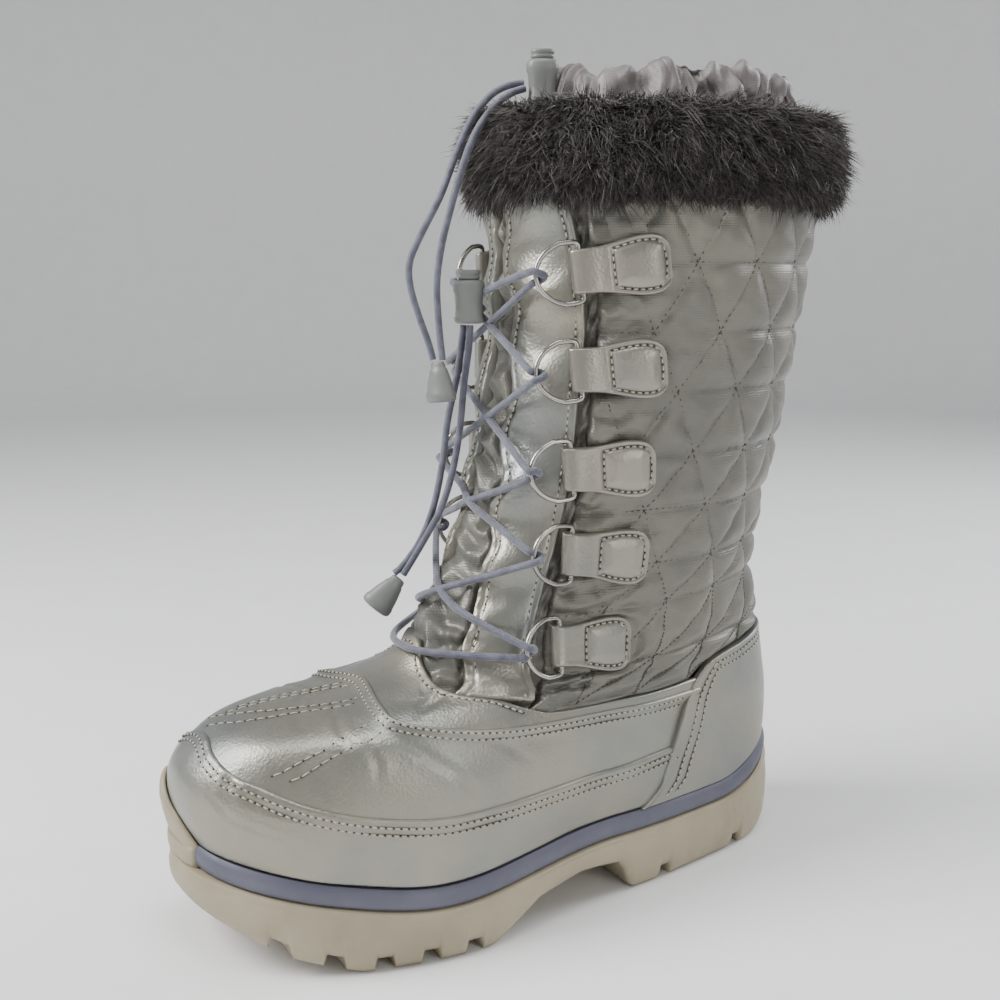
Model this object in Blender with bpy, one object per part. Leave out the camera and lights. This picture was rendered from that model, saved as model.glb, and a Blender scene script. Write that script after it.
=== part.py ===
"""Women's lace-front snow boot, left foot.

The toe points along -Y, the lateral side along +X and +Z is up. The origin is on the ground under the middle
of the heel. Every layer follows one surface: rings that run round the foot and the shaft, each laid
through a point of the front profile and a point of the back profile.
"""
import math
from collections import namedtuple

import bmesh
import bpy
import numpy as np

# Driving sizes, in metres
FOOT_LENGTH = 0.255
HEEL_REACH = 0.0507
BALL_WIDTH = 0.093
HEEL_WIDTH = 0.068
SHAFT_WIDTH = 0.105
SOLE_HEIGHT = 0.030
INSTEP_HEIGHT = 0.085
SHAFT_HEIGHT = 0.170
TOE_SWING = 0.010
UPPER_WALL = 0.003
GAP = 0.0003
OVERLAY = 0.0013
PUFF = 0.0022
PUFF_PITCH = 0.0235
MIDSOLE_HEIGHT = 0.008
INSOLE_THICKNESS = 0.004
TREAD_DEPTH = 0.0045
GROOVE_WIDTH = 0.005
TONGUE_THICKNESS = 0.003
TONGUE_TUCK = 0.0012
FUR_DROP = 0.014
FUR_RISE = 0.026
FUR_DEPTH = 0.013
FUR_LOCK = 0.005
CUFF_WALL = 0.0012
CUFF_TUCK = 0.020
CUFF_RISE = 0.038
CUFF_DRAW = 0.021
CUFF_GATHERS = 13
TAB_LENGTH = 0.035
TAB_HEIGHT = 0.022
TAB_THICKNESS = 0.0024
TAB_FOLD = 0.0052
RING_WIRE = 0.0020
RING_HEIGHT = 0.0230
RING_DEPTH = 0.0165
RING_PLAY = 0.0004
LACE_DIAMETER = 0.0028
LACE_LIFT = 0.0038

# One ring of the surface. Reaches are shares of FOOT_LENGTH from the heel's back, heights count 0 at the
# sole, 1 at the ankle and 2 at the shaft's top, zone is 0 on the foot and 1 on the shaft, and half-widths
# are shares of BALL_WIDTH and HEEL_WIDTH on the foot and of SHAFT_WIDTH on the shaft.
Ring = namedtuple("Ring", "front front_up back back_up zone ball waist heel in_ball in_waist in_heel toe_p heel_p")
RINGS = [
    Ring(1.000, 0.165, 0.000, 0.212, 0.0, 0.527, 0.419, 0.515, 0.473, 0.366, 0.485, 2.7, 3.8),
    Ring(1.020, 0.318, -0.004, 0.341, 0.0, 0.548, 0.452, 0.529, 0.495, 0.409, 0.515, 2.7, 3.6),
    Ring(1.012, 0.482, -0.004, 0.459, 0.0, 0.538, 0.462, 0.544, 0.495, 0.419, 0.529, 2.6, 3.4),
    Ring(0.965, 0.624, 0.000, 0.576, 0.0, 0.495, 0.452, 0.529, 0.462, 0.419, 0.515, 2.5, 3.2),
    Ring(0.878, 0.682, 0.004, 0.694, 0.0, 0.441, 0.430, 0.515, 0.419, 0.409, 0.500, 2.4, 3.0),
    Ring(0.780, 0.718, 0.008, 0.800, 0.0, 0.409, 0.419, 0.500, 0.398, 0.398, 0.485, 2.3, 2.8),
    Ring(0.698, 0.800, 0.016, 0.918, 0.0, 0.398, 0.409, 0.500, 0.387, 0.398, 0.485, 2.2, 2.6),
    Ring(0.635, 0.988, 0.024, 1.035, 0.0, 0.398, 0.419, 0.500, 0.387, 0.409, 0.485, 2.2, 2.5),
    Ring(0.576, 1.130, 0.020, 1.140, 0.5, 0.394, 0.414, 0.416, 0.384, 0.404, 0.405, 2.2, 2.4),
    Ring(0.541, 1.276, 0.000, 1.276, 1.0, 0.400, 0.419, 0.371, 0.390, 0.410, 0.362, 2.2, 2.3),
    Ring(0.514, 1.441, -0.020, 1.441, 1.0, 0.438, 0.448, 0.410, 0.429, 0.438, 0.400, 2.2, 2.2),
    Ring(0.490, 1.647, -0.039, 1.647, 1.0, 0.476, 0.476, 0.448, 0.467, 0.467, 0.438, 2.2, 2.2),
    Ring(0.486, 1.824, -0.055, 1.824, 1.0, 0.495, 0.495, 0.476, 0.486, 0.486, 0.467, 2.2, 2.2),
    Ring(0.486, 2.000, -0.067, 2.000, 1.0, 0.505, 0.505, 0.486, 0.495, 0.495, 0.476, 2.2, 2.2),
]
TOP_RING = len(RINGS) - 1
LACE_TURN = 80.0 / 7.0
Bow = namedtuple("Bow", "low high")
WIDTH_STATIONS = (0.30, 0.62, 0.88)

# Height of the feather line and of the tread along the foot: share of FOOT_LENGTH, share of SOLE_HEIGHT
Level = namedtuple("Level", "along height")
FEATHER = [
    Level(-0.10, 1.70), Level(0.0, 1.60), Level(0.067, 1.27), Level(0.153, 1.10), Level(0.388, 1.117),
    Level(0.545, 1.067), Level(0.702, 0.967), Level(0.859, 1.167), Level(1.0, 1.467), Level(1.06, 1.62),
]
TREAD = [
    Level(-0.05, 0.35), Level(-0.027, 0.28), Level(0.012, 0.08), Level(0.055, 0.0), Level(0.357, 0.0),
    Level(0.376, 0.43), Level(0.459, 0.50), Level(0.545, 0.40), Level(0.630, 0.0), Level(0.827, 0.0),
    Level(0.914, 0.22), Level(0.984, 0.55), Level(1.047, 0.86), Level(1.08, 1.0),
]
GROOVES = (0.112, 0.286, 0.665, 0.730, 0.795, 0.860, 0.925)

# Seams round the upper: angle from the toe in degrees, ring number
Seam = namedtuple("Seam", "angle ring")
RAND_SEAM = [
    Seam(0, 2.85), Seam(10, 2.6), Seam(20, 2.32), Seam(30, 2.1), Seam(40, 1.8), Seam(50, 1.57), Seam(60, 1.43),
    Seam(80, 1.33), Seam(100, 1.28), Seam(120, 1.43), Seam(180, 1.5),
]
ANKLE_SEAM = [
    Seam(0, 5.5), Seam(10, 5.37), Seam(20, 5.1), Seam(34, 4.55), Seam(48, 3.85), Seam(60, 3.47), Seam(74, 3.2),
    Seam(98, 3.03), Seam(122, 3.0), Seam(180, 3.0),
]
COLLAR_SEAM = [
    Seam(0, 6.7), Seam(20, 6.13), Seam(38, 5.47), Seam(49, 5.07), Seam(66, 4.4), Seam(77, 3.75), Seam(84, 3.4),
    Seam(100, 3.3), Seam(119, 3.35), Seam(125, 3.9), Seam(140, 4.3), Seam(162, 4.73), Seam(180, 4.85),
]
THROAT_EDGE = [
    Seam(29, 13.5), Seam(30, 12.5), Seam(34, 12.0), Seam(37, 11.4), Seam(40, 10.4), Seam(43, 9.7), Seam(46, 8.7),
    Seam(48, 7.8), Seam(54, 6.8), Seam(62, 5.8), Seam(72, 4.8), Seam(77, 4.1),
]
# Lines of the throat's grid: shares from its middle to its edge, and from its foot to the top
THROAT_ACROSS = (-0.82, -0.6, -0.35, -0.12, -0.04, 0.2, 0.45, 0.68, 0.85)
THROAT_UP = (0.06, 0.12, 0.2, 0.3, 0.4, 0.5, 0.6, 0.7, 0.8, 0.9)
COUNTER_ANGLE = 120
SADDLE_ANGLE = 80

# Tabs, lowest first: height of the near end's middle, its reach from the heel's back as a share of
# FOOT_LENGTH, tilt in degrees
Tab = namedtuple("Tab", "height front tilt")
TABS = [
    Tab(0.107, 0.498, -4.0), Tab(0.143, 0.474, -6.0), Tab(0.175, 0.466, 0.0), Tab(0.212, 0.451, 2.0),
    Tab(0.248, 0.447, 7.0),
]

# Routes of the hanging cords, chosen by hand: x, y, z in metres
CUFF_CORD_OUTER = [
    (-0.0055, -0.0638, 0.3200), (-0.0080, -0.0693, 0.3190), (-0.0085, -0.0768, 0.3150),
    (-0.0080, -0.0853, 0.3060),
    (-0.0080, -0.0923, 0.2930), (-0.0090, -0.0988, 0.2770), (-0.0115, -0.1063, 0.2620),
    (-0.0130, -0.1103, 0.2520),
    (-0.0128, -0.1103, 0.2430), (-0.0110, -0.1078, 0.2320), (-0.0092, -0.1048, 0.2220),
    (-0.0080, -0.1033, 0.2150),
]
CUFF_CORD_INNER = [
    (-0.0024, -0.0653, 0.3175), (-0.0035, -0.0708, 0.3155), (-0.0030, -0.0788, 0.3100),
    (-0.0020, -0.0873, 0.3000),
    (-0.0020, -0.0933, 0.2870), (-0.0030, -0.0978, 0.2720), (-0.0050, -0.1008, 0.2580),
    (-0.0062, -0.1023, 0.2440), (-0.0058, -0.1018, 0.2280), (-0.0050, -0.1008, 0.2150),
]
LACE_END_NEAR = [
    (-0.0036, -0.0893, 0.2281), (-0.0042, -0.0895, 0.2200), (-0.0060, -0.0908, 0.2050),
    (-0.0070, -0.0923, 0.1870),
    (-0.0080, -0.0953, 0.1700), (-0.0100, -0.0993, 0.1560), (-0.0130, -0.1043, 0.1450),
    (-0.0160, -0.1093, 0.1350),
    (-0.0178, -0.1125, 0.1290),
]
LACE_END_FAR = [
    (-0.0078, -0.0898, 0.2281), (-0.0095, -0.0913, 0.2110), (-0.0120, -0.0948, 0.1910),
    (-0.0130, -0.0968, 0.1740),
    (-0.0145, -0.1003, 0.1560), (-0.0170, -0.1053, 0.1420), (-0.0200, -0.1118, 0.1320),
    (-0.0214, -0.1148, 0.1292),
]
LACE_LOCK_PLACE = (-0.0055, -0.0887, 0.2370)
CUFF_LOCK_PLACE = (-0.0010, -0.0583, 0.3200)
CUFF_CORD_END_PLACE = (-0.0067, -0.1020, 0.2143)
LACE_CORD_END_PLACE = (-0.0196, -0.1135, 0.1272)
LOCK_WIDTH = 0.0125
LOCK_HEIGHT = 0.0165
LOCK_TURN = 63.0
LOCK_DEPTH = 0.0095
LOCK_ROUNDING = 0.0026
BUTTON_RISE = 0.0040
BUTTON_SEAT = 0.0010
BUTTON_TRAVEL = 0.0030
BUTTON_PLAY = 0.0004
CORD_END_LENGTH = 0.0155
CORD_END_WIDTH = 0.0130

COLUMNS = 36
COLOURS = {
    "outsole": ((0.56, 0.50, 0.38), 0.55, 0.0), "midsole": ((0.27, 0.29, 0.36), 0.6, 0.0),
    "insole": ((0.30, 0.29, 0.28), 0.9, 0.0), "leather": ((0.52, 0.50, 0.45), 0.32, 0.55),
    "nylon": ((0.42, 0.42, 0.39), 0.45, 0.35), "tab": ((0.60, 0.53, 0.47), 0.3, 0.5),
    "fur": ((0.05, 0.04, 0.035), 0.95, 0.0), "cuff": ((0.36, 0.32, 0.31), 0.7, 0.0),
    "steel": ((0.62, 0.60, 0.57), 0.25, 1.0), "cord": ((0.30, 0.31, 0.40), 0.7, 0.0),
    "plastic": ((0.33, 0.34, 0.34), 0.45, 0.0),
}


def clear_scene():
    for old in list(bpy.data.objects):
        bpy.data.objects.remove(old, do_unlink=True)


def smooth_table(xs, ys, x):
    """Read a table through a smooth curve with no overshoot."""
    xs = np.asarray(xs, float)
    ys = np.asarray(ys, float)
    x = np.clip(np.asarray(x, float), xs[0], xs[-1])
    step = np.diff(xs)
    slope = np.diff(ys) / step
    tangent = np.zeros(len(xs))
    tangent[1:-1] = np.where(slope[1:] * slope[:-1] > 0, 0.5 * (slope[1:] + slope[:-1]), 0.0)
    limit = 3 * np.minimum(np.abs(np.append(slope, slope[-1])), np.abs(np.insert(slope, 0, slope[0])))
    tangent = np.clip(tangent, -limit, limit)
    k = np.clip(np.searchsorted(xs, x) - 1, 0, len(xs) - 2)
    t = (x - xs[k]) / step[k]
    a = (2 * t ** 3 - 3 * t ** 2 + 1) * ys[k] + (t ** 3 - 2 * t ** 2 + t) * step[k] * tangent[k]
    return a + (3 * t ** 2 - 2 * t ** 3) * ys[k + 1] + (t ** 3 - t ** 2) * step[k] * tangent[k + 1]


def rise(height):
    """Turn a ring's height count into metres above the ground."""
    return SOLE_HEIGHT + INSTEP_HEIGHT * min(height, 1.0) + SHAFT_HEIGHT * max(height - 1.0, 0.0)


def ring_rows():
    """The ring table in metres, one row of thirteen values a ring."""
    rows = []
    back_y = HEEL_REACH
    for ring in RINGS:
        wide = BALL_WIDTH + (SHAFT_WIDTH - BALL_WIDTH) * ring.zone
        narrow = HEEL_WIDTH + (SHAFT_WIDTH - HEEL_WIDTH) * ring.zone
        rows.append([
            back_y - ring.front * FOOT_LENGTH, rise(ring.front_up), back_y - ring.back * FOOT_LENGTH,
            rise(ring.back_up), ring.ball * wide, ring.waist * wide, ring.heel * narrow, ring.in_ball * wide,
            ring.in_waist * wide, ring.in_heel * narrow, ring.toe_p, ring.heel_p,
        ])
    return np.array(rows)


ROWS = ring_rows()


def along(y):
    """Share of the foot's length, from the heel's back, of a place on the Y axis."""
    return (HEEL_REACH - np.asarray(y, float)) / FOOT_LENGTH


def feather_height(y):
    return SOLE_HEIGHT * smooth_table([r.along for r in FEATHER], [r.height for r in FEATHER], along(y))


def tread_height(y):
    return SOLE_HEIGHT * np.interp(along(y), [r.along for r in TREAD], [r.height for r in TREAD])


def seam_ring(seam, degrees):
    """Ring number of a seam at an angle; both sides are alike."""
    turned = np.abs((np.asarray(degrees, float) + 180.0) % 360.0 - 180.0)
    return smooth_table([r.angle for r in seam], [r.ring for r in seam], turned)


def throat_angle(ring):
    """Angle of the throat's edge at a ring number."""
    rows = THROAT_EDGE[::-1]
    return np.interp(ring, [r.ring for r in rows], [r.angle for r in rows])


def ease(x):
    x = np.clip(x, 0.0, 1.0)
    return x * x * (3.0 - 2.0 * x)


def half_width(u, ball, waist, heel):
    first, second, third = WIDTH_STATIONS
    width = ball + (waist - ball) * ease((u - first) / (second - first))
    return width + (heel - waist) * ease((u - second) / (third - second))


def base_point(ring, degrees):
    """Places on the boot's surface for ring numbers and angles from the toe, lateral side first."""
    ring, degrees = np.broadcast_arrays(np.asarray(ring, float), np.asarray(degrees, float))
    ring = np.clip(ring, 0.0, TOP_RING)
    low = np.clip(np.floor(ring).astype(int), 0, TOP_RING - 1)
    f = (ring - low)[..., None]
    p0, p1 = ROWS[np.clip(low - 1, 0, TOP_RING)], ROWS[low]
    p2, p3 = ROWS[low + 1], ROWS[np.clip(low + 2, 0, TOP_RING)]
    row = 0.5 * (2 * p1 + (p2 - p0) * f + (2 * p0 - 5 * p1 + 4 * p2 - p3) * f ** 2
                 + (3 * p1 - p0 - 3 * p2 + p3) * f ** 3)
    front_y, front_z, back_y, back_z, ball, waist, heel, in_ball, in_waist, in_heel, toe_p, heel_p = np.moveaxis(
        row, -1, 0)
    angle = np.radians(degrees)
    cosine = np.cos(angle)
    u = (1.0 - cosine) / 2.0
    power = np.where(u < 0.5, toe_p, heel_p)
    round_off = np.maximum(1.0 - np.abs(cosine) ** power, 0.0) ** (1.0 / power)
    lateral = half_width(u, ball, waist, heel)
    medial = half_width(u, in_ball, in_waist, in_heel)
    width = np.where(np.sin(angle) >= 0.0, lateral, -medial)
    y = front_y + u * (back_y - front_y)
    z = front_z + u * (back_z - front_z)
    straight = ROWS[0, 1] + u * (ROWS[0, 3] - ROWS[0, 1])
    fade = np.clip(1.0 - ring / 4.0, 0.0, 1.0) ** 2
    z = z + (feather_height(y) - straight) * fade
    bend = np.clip((along(y) - 0.545) / 0.451, 0.0, 2.0)
    x = width * round_off - TOE_SWING * bend ** 2
    return np.stack([x, y, z], -1)


def surface_normal(ring, degrees):
    """Outward normal of the surface, from close neighbours."""
    ring = np.clip(np.asarray(ring, float), 0.0, TOP_RING)
    ring_step, angle_step = 0.05, 1.0
    up = base_point(ring + ring_step, degrees) - base_point(ring - ring_step, degrees)
    round_way = base_point(ring, degrees + angle_step) - base_point(ring, degrees - angle_step)
    normal = np.cross(round_way, up)
    return normal / np.linalg.norm(normal, axis=-1, keepdims=True)


def skin(ring, degrees, offset):
    """A place on the surface, moved out by an offset; above the top ring it goes straight up."""
    ring = np.asarray(ring, float)
    degrees = np.asarray(degrees, float)
    place = base_point(ring, degrees) + surface_normal(ring, degrees) * np.asarray(offset, float)[..., None]
    top_step = ROWS[TOP_RING, 1] - ROWS[TOP_RING - 1, 1]
    above = np.maximum(ring - TOP_RING, 0.0) * top_step
    return place + np.stack([above * 0.0, above * 0.0, above], -1)


def ring_at_height(height):
    """Ring number whose front point is at a height on the shaft."""
    heights = ROWS[:, 1]
    return float(np.interp(height, heights[6:], np.arange(6, TOP_RING + 1)))


def ring_above_top(rise_over):
    """Ring number of a place above the shaft's top."""
    return TOP_RING + rise_over / (ROWS[TOP_RING, 1] - ROWS[TOP_RING - 1, 1])


def shaft_point(side, height, front, arc, offset):
    """Place on one side of the shaft: height, start on the Y axis, length on from there, outward offset."""
    degrees = np.linspace(0.0, 170.0, 69) * side
    low, high = 4.0, float(TOP_RING)
    for _ in range(24):
        ring = 0.5 * (low + high)
        line = base_point(ring, degrees)
        length = np.concatenate([[0.0], np.cumsum(np.linalg.norm(np.diff(line, axis=0), axis=1))])
        start = np.interp(front, line[:, 1], length)
        turned = np.interp(start + arc, length, degrees * side) * side
        if base_point(ring, turned)[2] < height:
            low = ring
        else:
            high = ring
    return skin(ring, turned, offset)


def make_object(name, points, faces, colour, collection):
    mesh = bpy.data.meshes.new(name)
    mesh.from_pydata([tuple(map(float, p)) for p in points], [], [tuple(map(int, f)) for f in faces])
    shape = bmesh.new()
    shape.from_mesh(mesh)
    bmesh.ops.recalc_face_normals(shape, faces=shape.faces[:])
    if shape.calc_volume(signed=True) < 0:
        bmesh.ops.reverse_faces(shape, faces=shape.faces[:])
    shape.to_mesh(mesh)
    shape.free()
    mesh.update()
    return add_object(name, mesh, colour, collection)


def add_object(name, mesh, colour, collection):
    made = bpy.data.objects.new(name, mesh)
    collection.objects.link(made)
    mesh.materials.clear()
    mesh.materials.append(material(colour))
    return made


def material(key):
    found = bpy.data.materials.get(key)
    if found:
        return found
    tint, roughness, metallic = COLOURS[key]
    made = bpy.data.materials.new(key)
    made.use_nodes = True
    shader = made.node_tree.nodes["Principled BSDF"]
    shader.inputs["Base Color"].default_value = (*tint, 1.0)
    shader.inputs["Roughness"].default_value = roughness
    shader.inputs["Metallic"].default_value = metallic
    return made


def grid_faces(rows, columns, first, row_wrap=False, column_wrap=False, split=True):
    """Faces of a grid of points that starts at an index; split ones share one diagonal on every layer."""
    faces = []
    for i in range(rows if row_wrap else rows - 1):
        for j in range(columns if column_wrap else columns - 1):
            k, m = (i + 1) % rows, (j + 1) % columns
            a, b = first + i * columns + j, first + i * columns + m
            c, d = first + k * columns + m, first + k * columns + j
            if split:
                faces += [(a, b, c), (a, c, d)]
            else:
                faces.append((a, b, c, d))
    return faces


def tube_of_rings(name, loops, colour, collection, split=True):
    """A closed ring-shaped solid: loops round the boot, joined in turn and back to the first."""
    count = len(loops[0])
    points = np.concatenate(loops)
    faces = grid_faces(len(loops), count, 0, True, True, split)
    return make_object(name, points, faces, colour, collection)


def patch(name, outer, inner, colour, collection):
    """A closed sheet between two grids of the same shape."""
    rows, columns = outer.shape[:2]
    size = rows * columns
    points = np.concatenate([outer.reshape(-1, 3), inner.reshape(-1, 3)])
    faces = grid_faces(rows, columns, 0)
    faces += [tuple(reversed(face)) for face in grid_faces(rows, columns, size)]
    border = [(0, j) for j in range(columns)] + [(i, columns - 1) for i in range(1, rows)]
    border += [(rows - 1, j) for j in range(columns - 2, -1, -1)] + [(i, 0) for i in range(rows - 2, 0, -1)]
    for k, (i, j) in enumerate(border):
        m, n = border[(k + 1) % len(border)]
        a, b = i * columns + j, m * columns + n
        faces.append((a, b, b + size, a + size))
    return make_object(name, points, faces, colour, collection)


def band_rings(degrees):
    """Ring numbers of the upper's rows at each angle, from the sole to the shaft's top."""
    rand = seam_ring(RAND_SEAM, degrees)
    ankle = seam_ring(ANKLE_SEAM, degrees)
    collar = seam_ring(COLLAR_SEAM, degrees)
    shaft_start = ring_at_height(quilt_heights()[0])
    rows = [rand * t for t in (0.0, 0.5, 1.0)]
    rows += [rand + (ankle - rand) * t for t in (0.34, 0.67, 1.0)]
    rows += [ankle + (collar - ankle) * t for t in (0.5, 1.0)]
    rows += [collar + (shaft_start - collar) * t for t in (0.34, 0.67)]
    rows += [np.full_like(rand, ring_at_height(height)) for height in puff_heights()]
    return rows


def quilt_heights():
    """Heights of the stitched rows on the shaft, lowest first."""
    top = rise(2.0) - 0.010
    return [top - PUFF_PITCH * k for k in range(6, -1, -1)]


def puff_heights():
    """Heights of the shaft's rows: each stitched row and the crest between two."""
    heights = []
    for height in quilt_heights():
        heights += [height, height + PUFF_PITCH / 2.0]
    heights[-1] = rise(2.0)
    return heights


RAND_ROWS = 3
SEAM_ROWS = RAND_ROWS + 5
PLAIN_ROWS = SEAM_ROWS + 2


def row_offset(index):
    """Outward step of one of the upper's rows: crests of the quilt stand out."""
    if index < PLAIN_ROWS:
        return 0.0
    return PUFF * ((index - PLAIN_ROWS) % 2)


def build_upper(collection, cutters):
    degrees = np.arange(COLUMNS) * 360.0 / COLUMNS
    rings = band_rings(degrees)
    outer = [skin(ring, degrees, np.full(COLUMNS, row_offset(k))) for k, ring in enumerate(rings)]
    inner_rows = [k for k in range(len(rings)) if k <= PLAIN_ROWS or (k - PLAIN_ROWS) % 2 == 0]
    inner_rows.append(len(rings) - 1)
    inner = [skin(rings[k], degrees, np.full(COLUMNS, -UPPER_WALL)) for k in sorted(set(inner_rows))]
    upper = tube_of_rings("upper", outer + inner[::-1], "nylon", collection)
    cut(upper, throat_cutter(cutters))
    return upper


def throat_grid(f, t):
    """Ring numbers and angles over the throat: f is 1 at its edge, t is 0 at its foot and 1 at the top."""
    foot_angle = THROAT_EDGE[-1].angle
    foot = seam_ring(COLLAR_SEAM, np.minimum(np.abs(f), 1.0) * foot_angle)
    foot = foot + 0.08
    ring = foot[None, :] + (TOP_RING - foot[None, :]) * t[:, None]
    return ring, f[None, :] * throat_angle(ring)


def throat_cutter(cutters):
    ring, degrees = throat_grid(np.array([-1.0, *THROAT_ACROSS, 1.0]), np.array([0.0, *THROAT_UP, 1.08]))
    outer = skin(ring, degrees, np.full(ring.shape, 0.012))
    inner = skin(ring, degrees, np.full(ring.shape, -0.010))
    cutter = patch("throat_cutter", outer, inner, "nylon", cutters)
    cutter.hide_render = True
    cutter.display_type = "WIRE"
    return cutter


def cut(target, cutter, operation="DIFFERENCE"):
    change = target.modifiers.new(cutter.name, "BOOLEAN")
    change.operation = operation
    change.object = cutter
    change.solver = "EXACT"


def build_tongue(collection):
    """Gusseted tongue: flush with the shaft in the throat, tucked behind its edges and the saddle."""
    across = np.array([-1.12, -0.99, *THROAT_ACROSS, 0.99, 1.12])
    upward = np.array([-0.05, 0.01, *THROAT_UP, 0.985])
    ring, degrees = throat_grid(across, upward)
    f = across[None, :]
    t = upward[:, None]
    tucked = -(UPPER_WALL + TONGUE_TUCK)
    inside = ease((0.98 - np.abs(f)) / 0.16) * ease((t - 0.045) / 0.07)
    facing = 0.0010 * ((f > -0.05) & (f < 0.9))
    outer = skin(ring, degrees, tucked + (2.0 * GAP - tucked + facing) * inside)
    inner = skin(ring, degrees, tucked + (2.0 * GAP - tucked) * inside - TONGUE_THICKNESS)
    patch("tongue", outer, inner, "leather", collection)


def build_overlay(name, row_range, degrees, collection):
    """A leather overlay on some rows and columns of the upper, one gap clear of it."""
    rings = band_rings(degrees)[row_range[0]:row_range[1] + 1]
    shape = (len(rings), len(degrees))
    ring = np.stack(rings)
    turned = np.broadcast_to(degrees, shape)
    outer = skin(ring, turned, np.full(shape, GAP + OVERLAY))
    inner = skin(ring, turned, np.full(shape, GAP))
    patch(name, outer, inner, "leather", collection)


def build_overlays(collection):
    step = 360.0 / COLUMNS
    sides = np.arange(-COUNTER_ANGLE + step, COUNTER_ANGLE, step)
    build_overlay("rand", (0, RAND_ROWS - 1), np.append(sides, COUNTER_ANGLE - 0.9), collection)
    saddle = np.arange(-SADDLE_ANGLE, SADDLE_ANGLE + step, step)
    build_overlay("ankle_saddle", (RAND_ROWS + 2, SEAM_ROWS - 1), saddle, collection)
    heel = np.arange(COUNTER_ANGLE, 360.0 - COUNTER_ANGLE + step, step)
    build_overlay("heel_counter", (0, SEAM_ROWS - 1), heel, collection)


def outline(degrees, out):
    """The sole's outline: the feather line moved out, level, by a distance."""
    place = base_point(0.0, degrees)
    round_way = base_point(0.0, degrees + 1.0) - base_point(0.0, degrees - 1.0)
    normal = np.stack([round_way[:, 1], -round_way[:, 0]], -1)
    normal /= np.linalg.norm(normal, axis=1, keepdims=True)
    return place[:, :2] + normal * np.asarray(out, float)[..., None]


def ladder_faces(count, first):
    """Close a loop of points with rungs from the lateral to the medial side."""
    half = count // 2
    faces = [(first, first + 1, first + count - 1)]
    for k in range(1, half - 1):
        faces.append((first + k, first + k + 1, first + count - k - 1, first + count - k))
    faces.append((first + half - 1, first + half, first + half + 1))
    return faces


def slab(name, loops, colour, collection):
    """A solid stacked from level loops, closed by rungs below and above."""
    count = len(loops[0])
    faces = grid_faces(len(loops), count, 0, False, True)
    faces += ladder_faces(count, 0)
    faces += [tuple(reversed(face)) for face in ladder_faces(count, (len(loops) - 1) * count)]
    return make_object(name, np.concatenate(loops), faces, colour, collection)


def sole_angles():
    """Angles of the outsole's stations: close at both ends and at each side of a groove."""
    front, back = ROWS[0, 0], ROWS[0, 2]
    angles = [4.0, 15.0] + [10.0 * k for k in range(1, 18)]
    half = GROOVE_WIDTH / 2.0
    wall = 0.0008
    for centre in GROOVES:
        y = HEEL_REACH - centre * FOOT_LENGTH
        for step in (-half - wall, -half, half, half + wall):
            u = (y + step - front) / (back - front)
            angles.append(math.degrees(math.acos(1.0 - 2.0 * u)))
    angles = sorted(angles)
    return np.array([0.0] + angles + [180.0] + [360.0 - a for a in reversed(angles)])


def in_groove(y):
    depth = np.zeros_like(y)
    for centre in GROOVES:
        middle = HEEL_REACH - centre * FOOT_LENGTH
        depth[np.abs(y - middle) < GROOVE_WIDTH / 2.0 + 0.0004] = TREAD_DEPTH
    return depth


def build_outsole(collection, cutters):
    degrees = sole_angles()
    toe = 0.0035 * ease(1.0 - np.abs((degrees + 180.0) % 360.0 - 180.0) / 32.0)
    y = base_point(0.0, degrees)[:, 1]
    top = feather_height(y) - MIDSOLE_HEIGHT - 3.0 * GAP
    bottom = tread_height(outline(degrees, 0.002 + toe)[:, 1])
    tread = np.minimum(bottom + in_groove(y), top - 0.004)
    loops = []
    for out, share in ((0.0020, 0.0), (0.0042, 0.30), (0.0044, 0.75), (0.0030, 1.0)):
        flat = outline(degrees, out + toe)
        height = tread + (top - tread) * share
        loops.append(np.column_stack([flat, height]))
    outsole = slab("outsole", loops, "outsole", collection)
    cut(outsole, build_bumper(cutters), "UNION")


def build_bumper(cutters):
    """Toe bumper: rubber that rises from the outsole in front of the toe."""
    degrees = np.linspace(-24.0, 24.0, 11)
    arch = np.cos(np.radians(degrees / 24.0 * 90.0)) ** 0.7
    clear = GAP * 2.0 + OVERLAY
    inner_rows = [outline_row(degrees, clear + 0.0008, -0.75), outline_row(degrees, clear + 0.0008, -0.25)]
    outer_rows = [outline_row(degrees, 0.0052, -0.75), outline_row(degrees, 0.0070, -0.25)]
    for share in (0.35, 0.7, 1.0):
        ring = share * 1.35 * arch
        inner_rows.append(skin(ring, degrees, np.full(len(degrees), clear)))
        outer_rows.append(skin(ring, degrees, np.full(len(degrees), clear + 0.0012 + 0.0035 * (1.15 - share))))
    bumper = patch("toe_bumper", np.stack(outer_rows), np.stack(inner_rows), "outsole", cutters)
    bumper.hide_render = True
    bumper.display_type = "WIRE"
    return bumper


def outline_row(degrees, out, drop):
    """A row of the bumper beside the midsole: drop is a share of the midsole's height and more."""
    flat = outline(degrees, np.full(len(degrees), out))
    height = feather_height(base_point(0.0, degrees)[:, 1]) + drop * (MIDSOLE_HEIGHT + 0.006)
    return np.column_stack([flat, height])


def build_midsole(collection):
    degrees = sole_angles()
    turned = np.abs((degrees + 180.0) % 360.0 - 180.0)
    open_side = ease((turned - 22.0) / 7.0)
    top = feather_height(base_point(0.0, degrees)[:, 1]) - 2.0 * GAP
    loops = []
    for out, drop in ((0.0020, 1.0), (0.0030, 0.55), (0.0019, 0.0)):
        flat = outline(degrees, 0.0004 + (out - 0.0004) * open_side)
        loops.append(np.column_stack([flat, top - drop * MIDSOLE_HEIGHT]))
    slab("midsole", loops, "midsole", collection)


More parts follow.
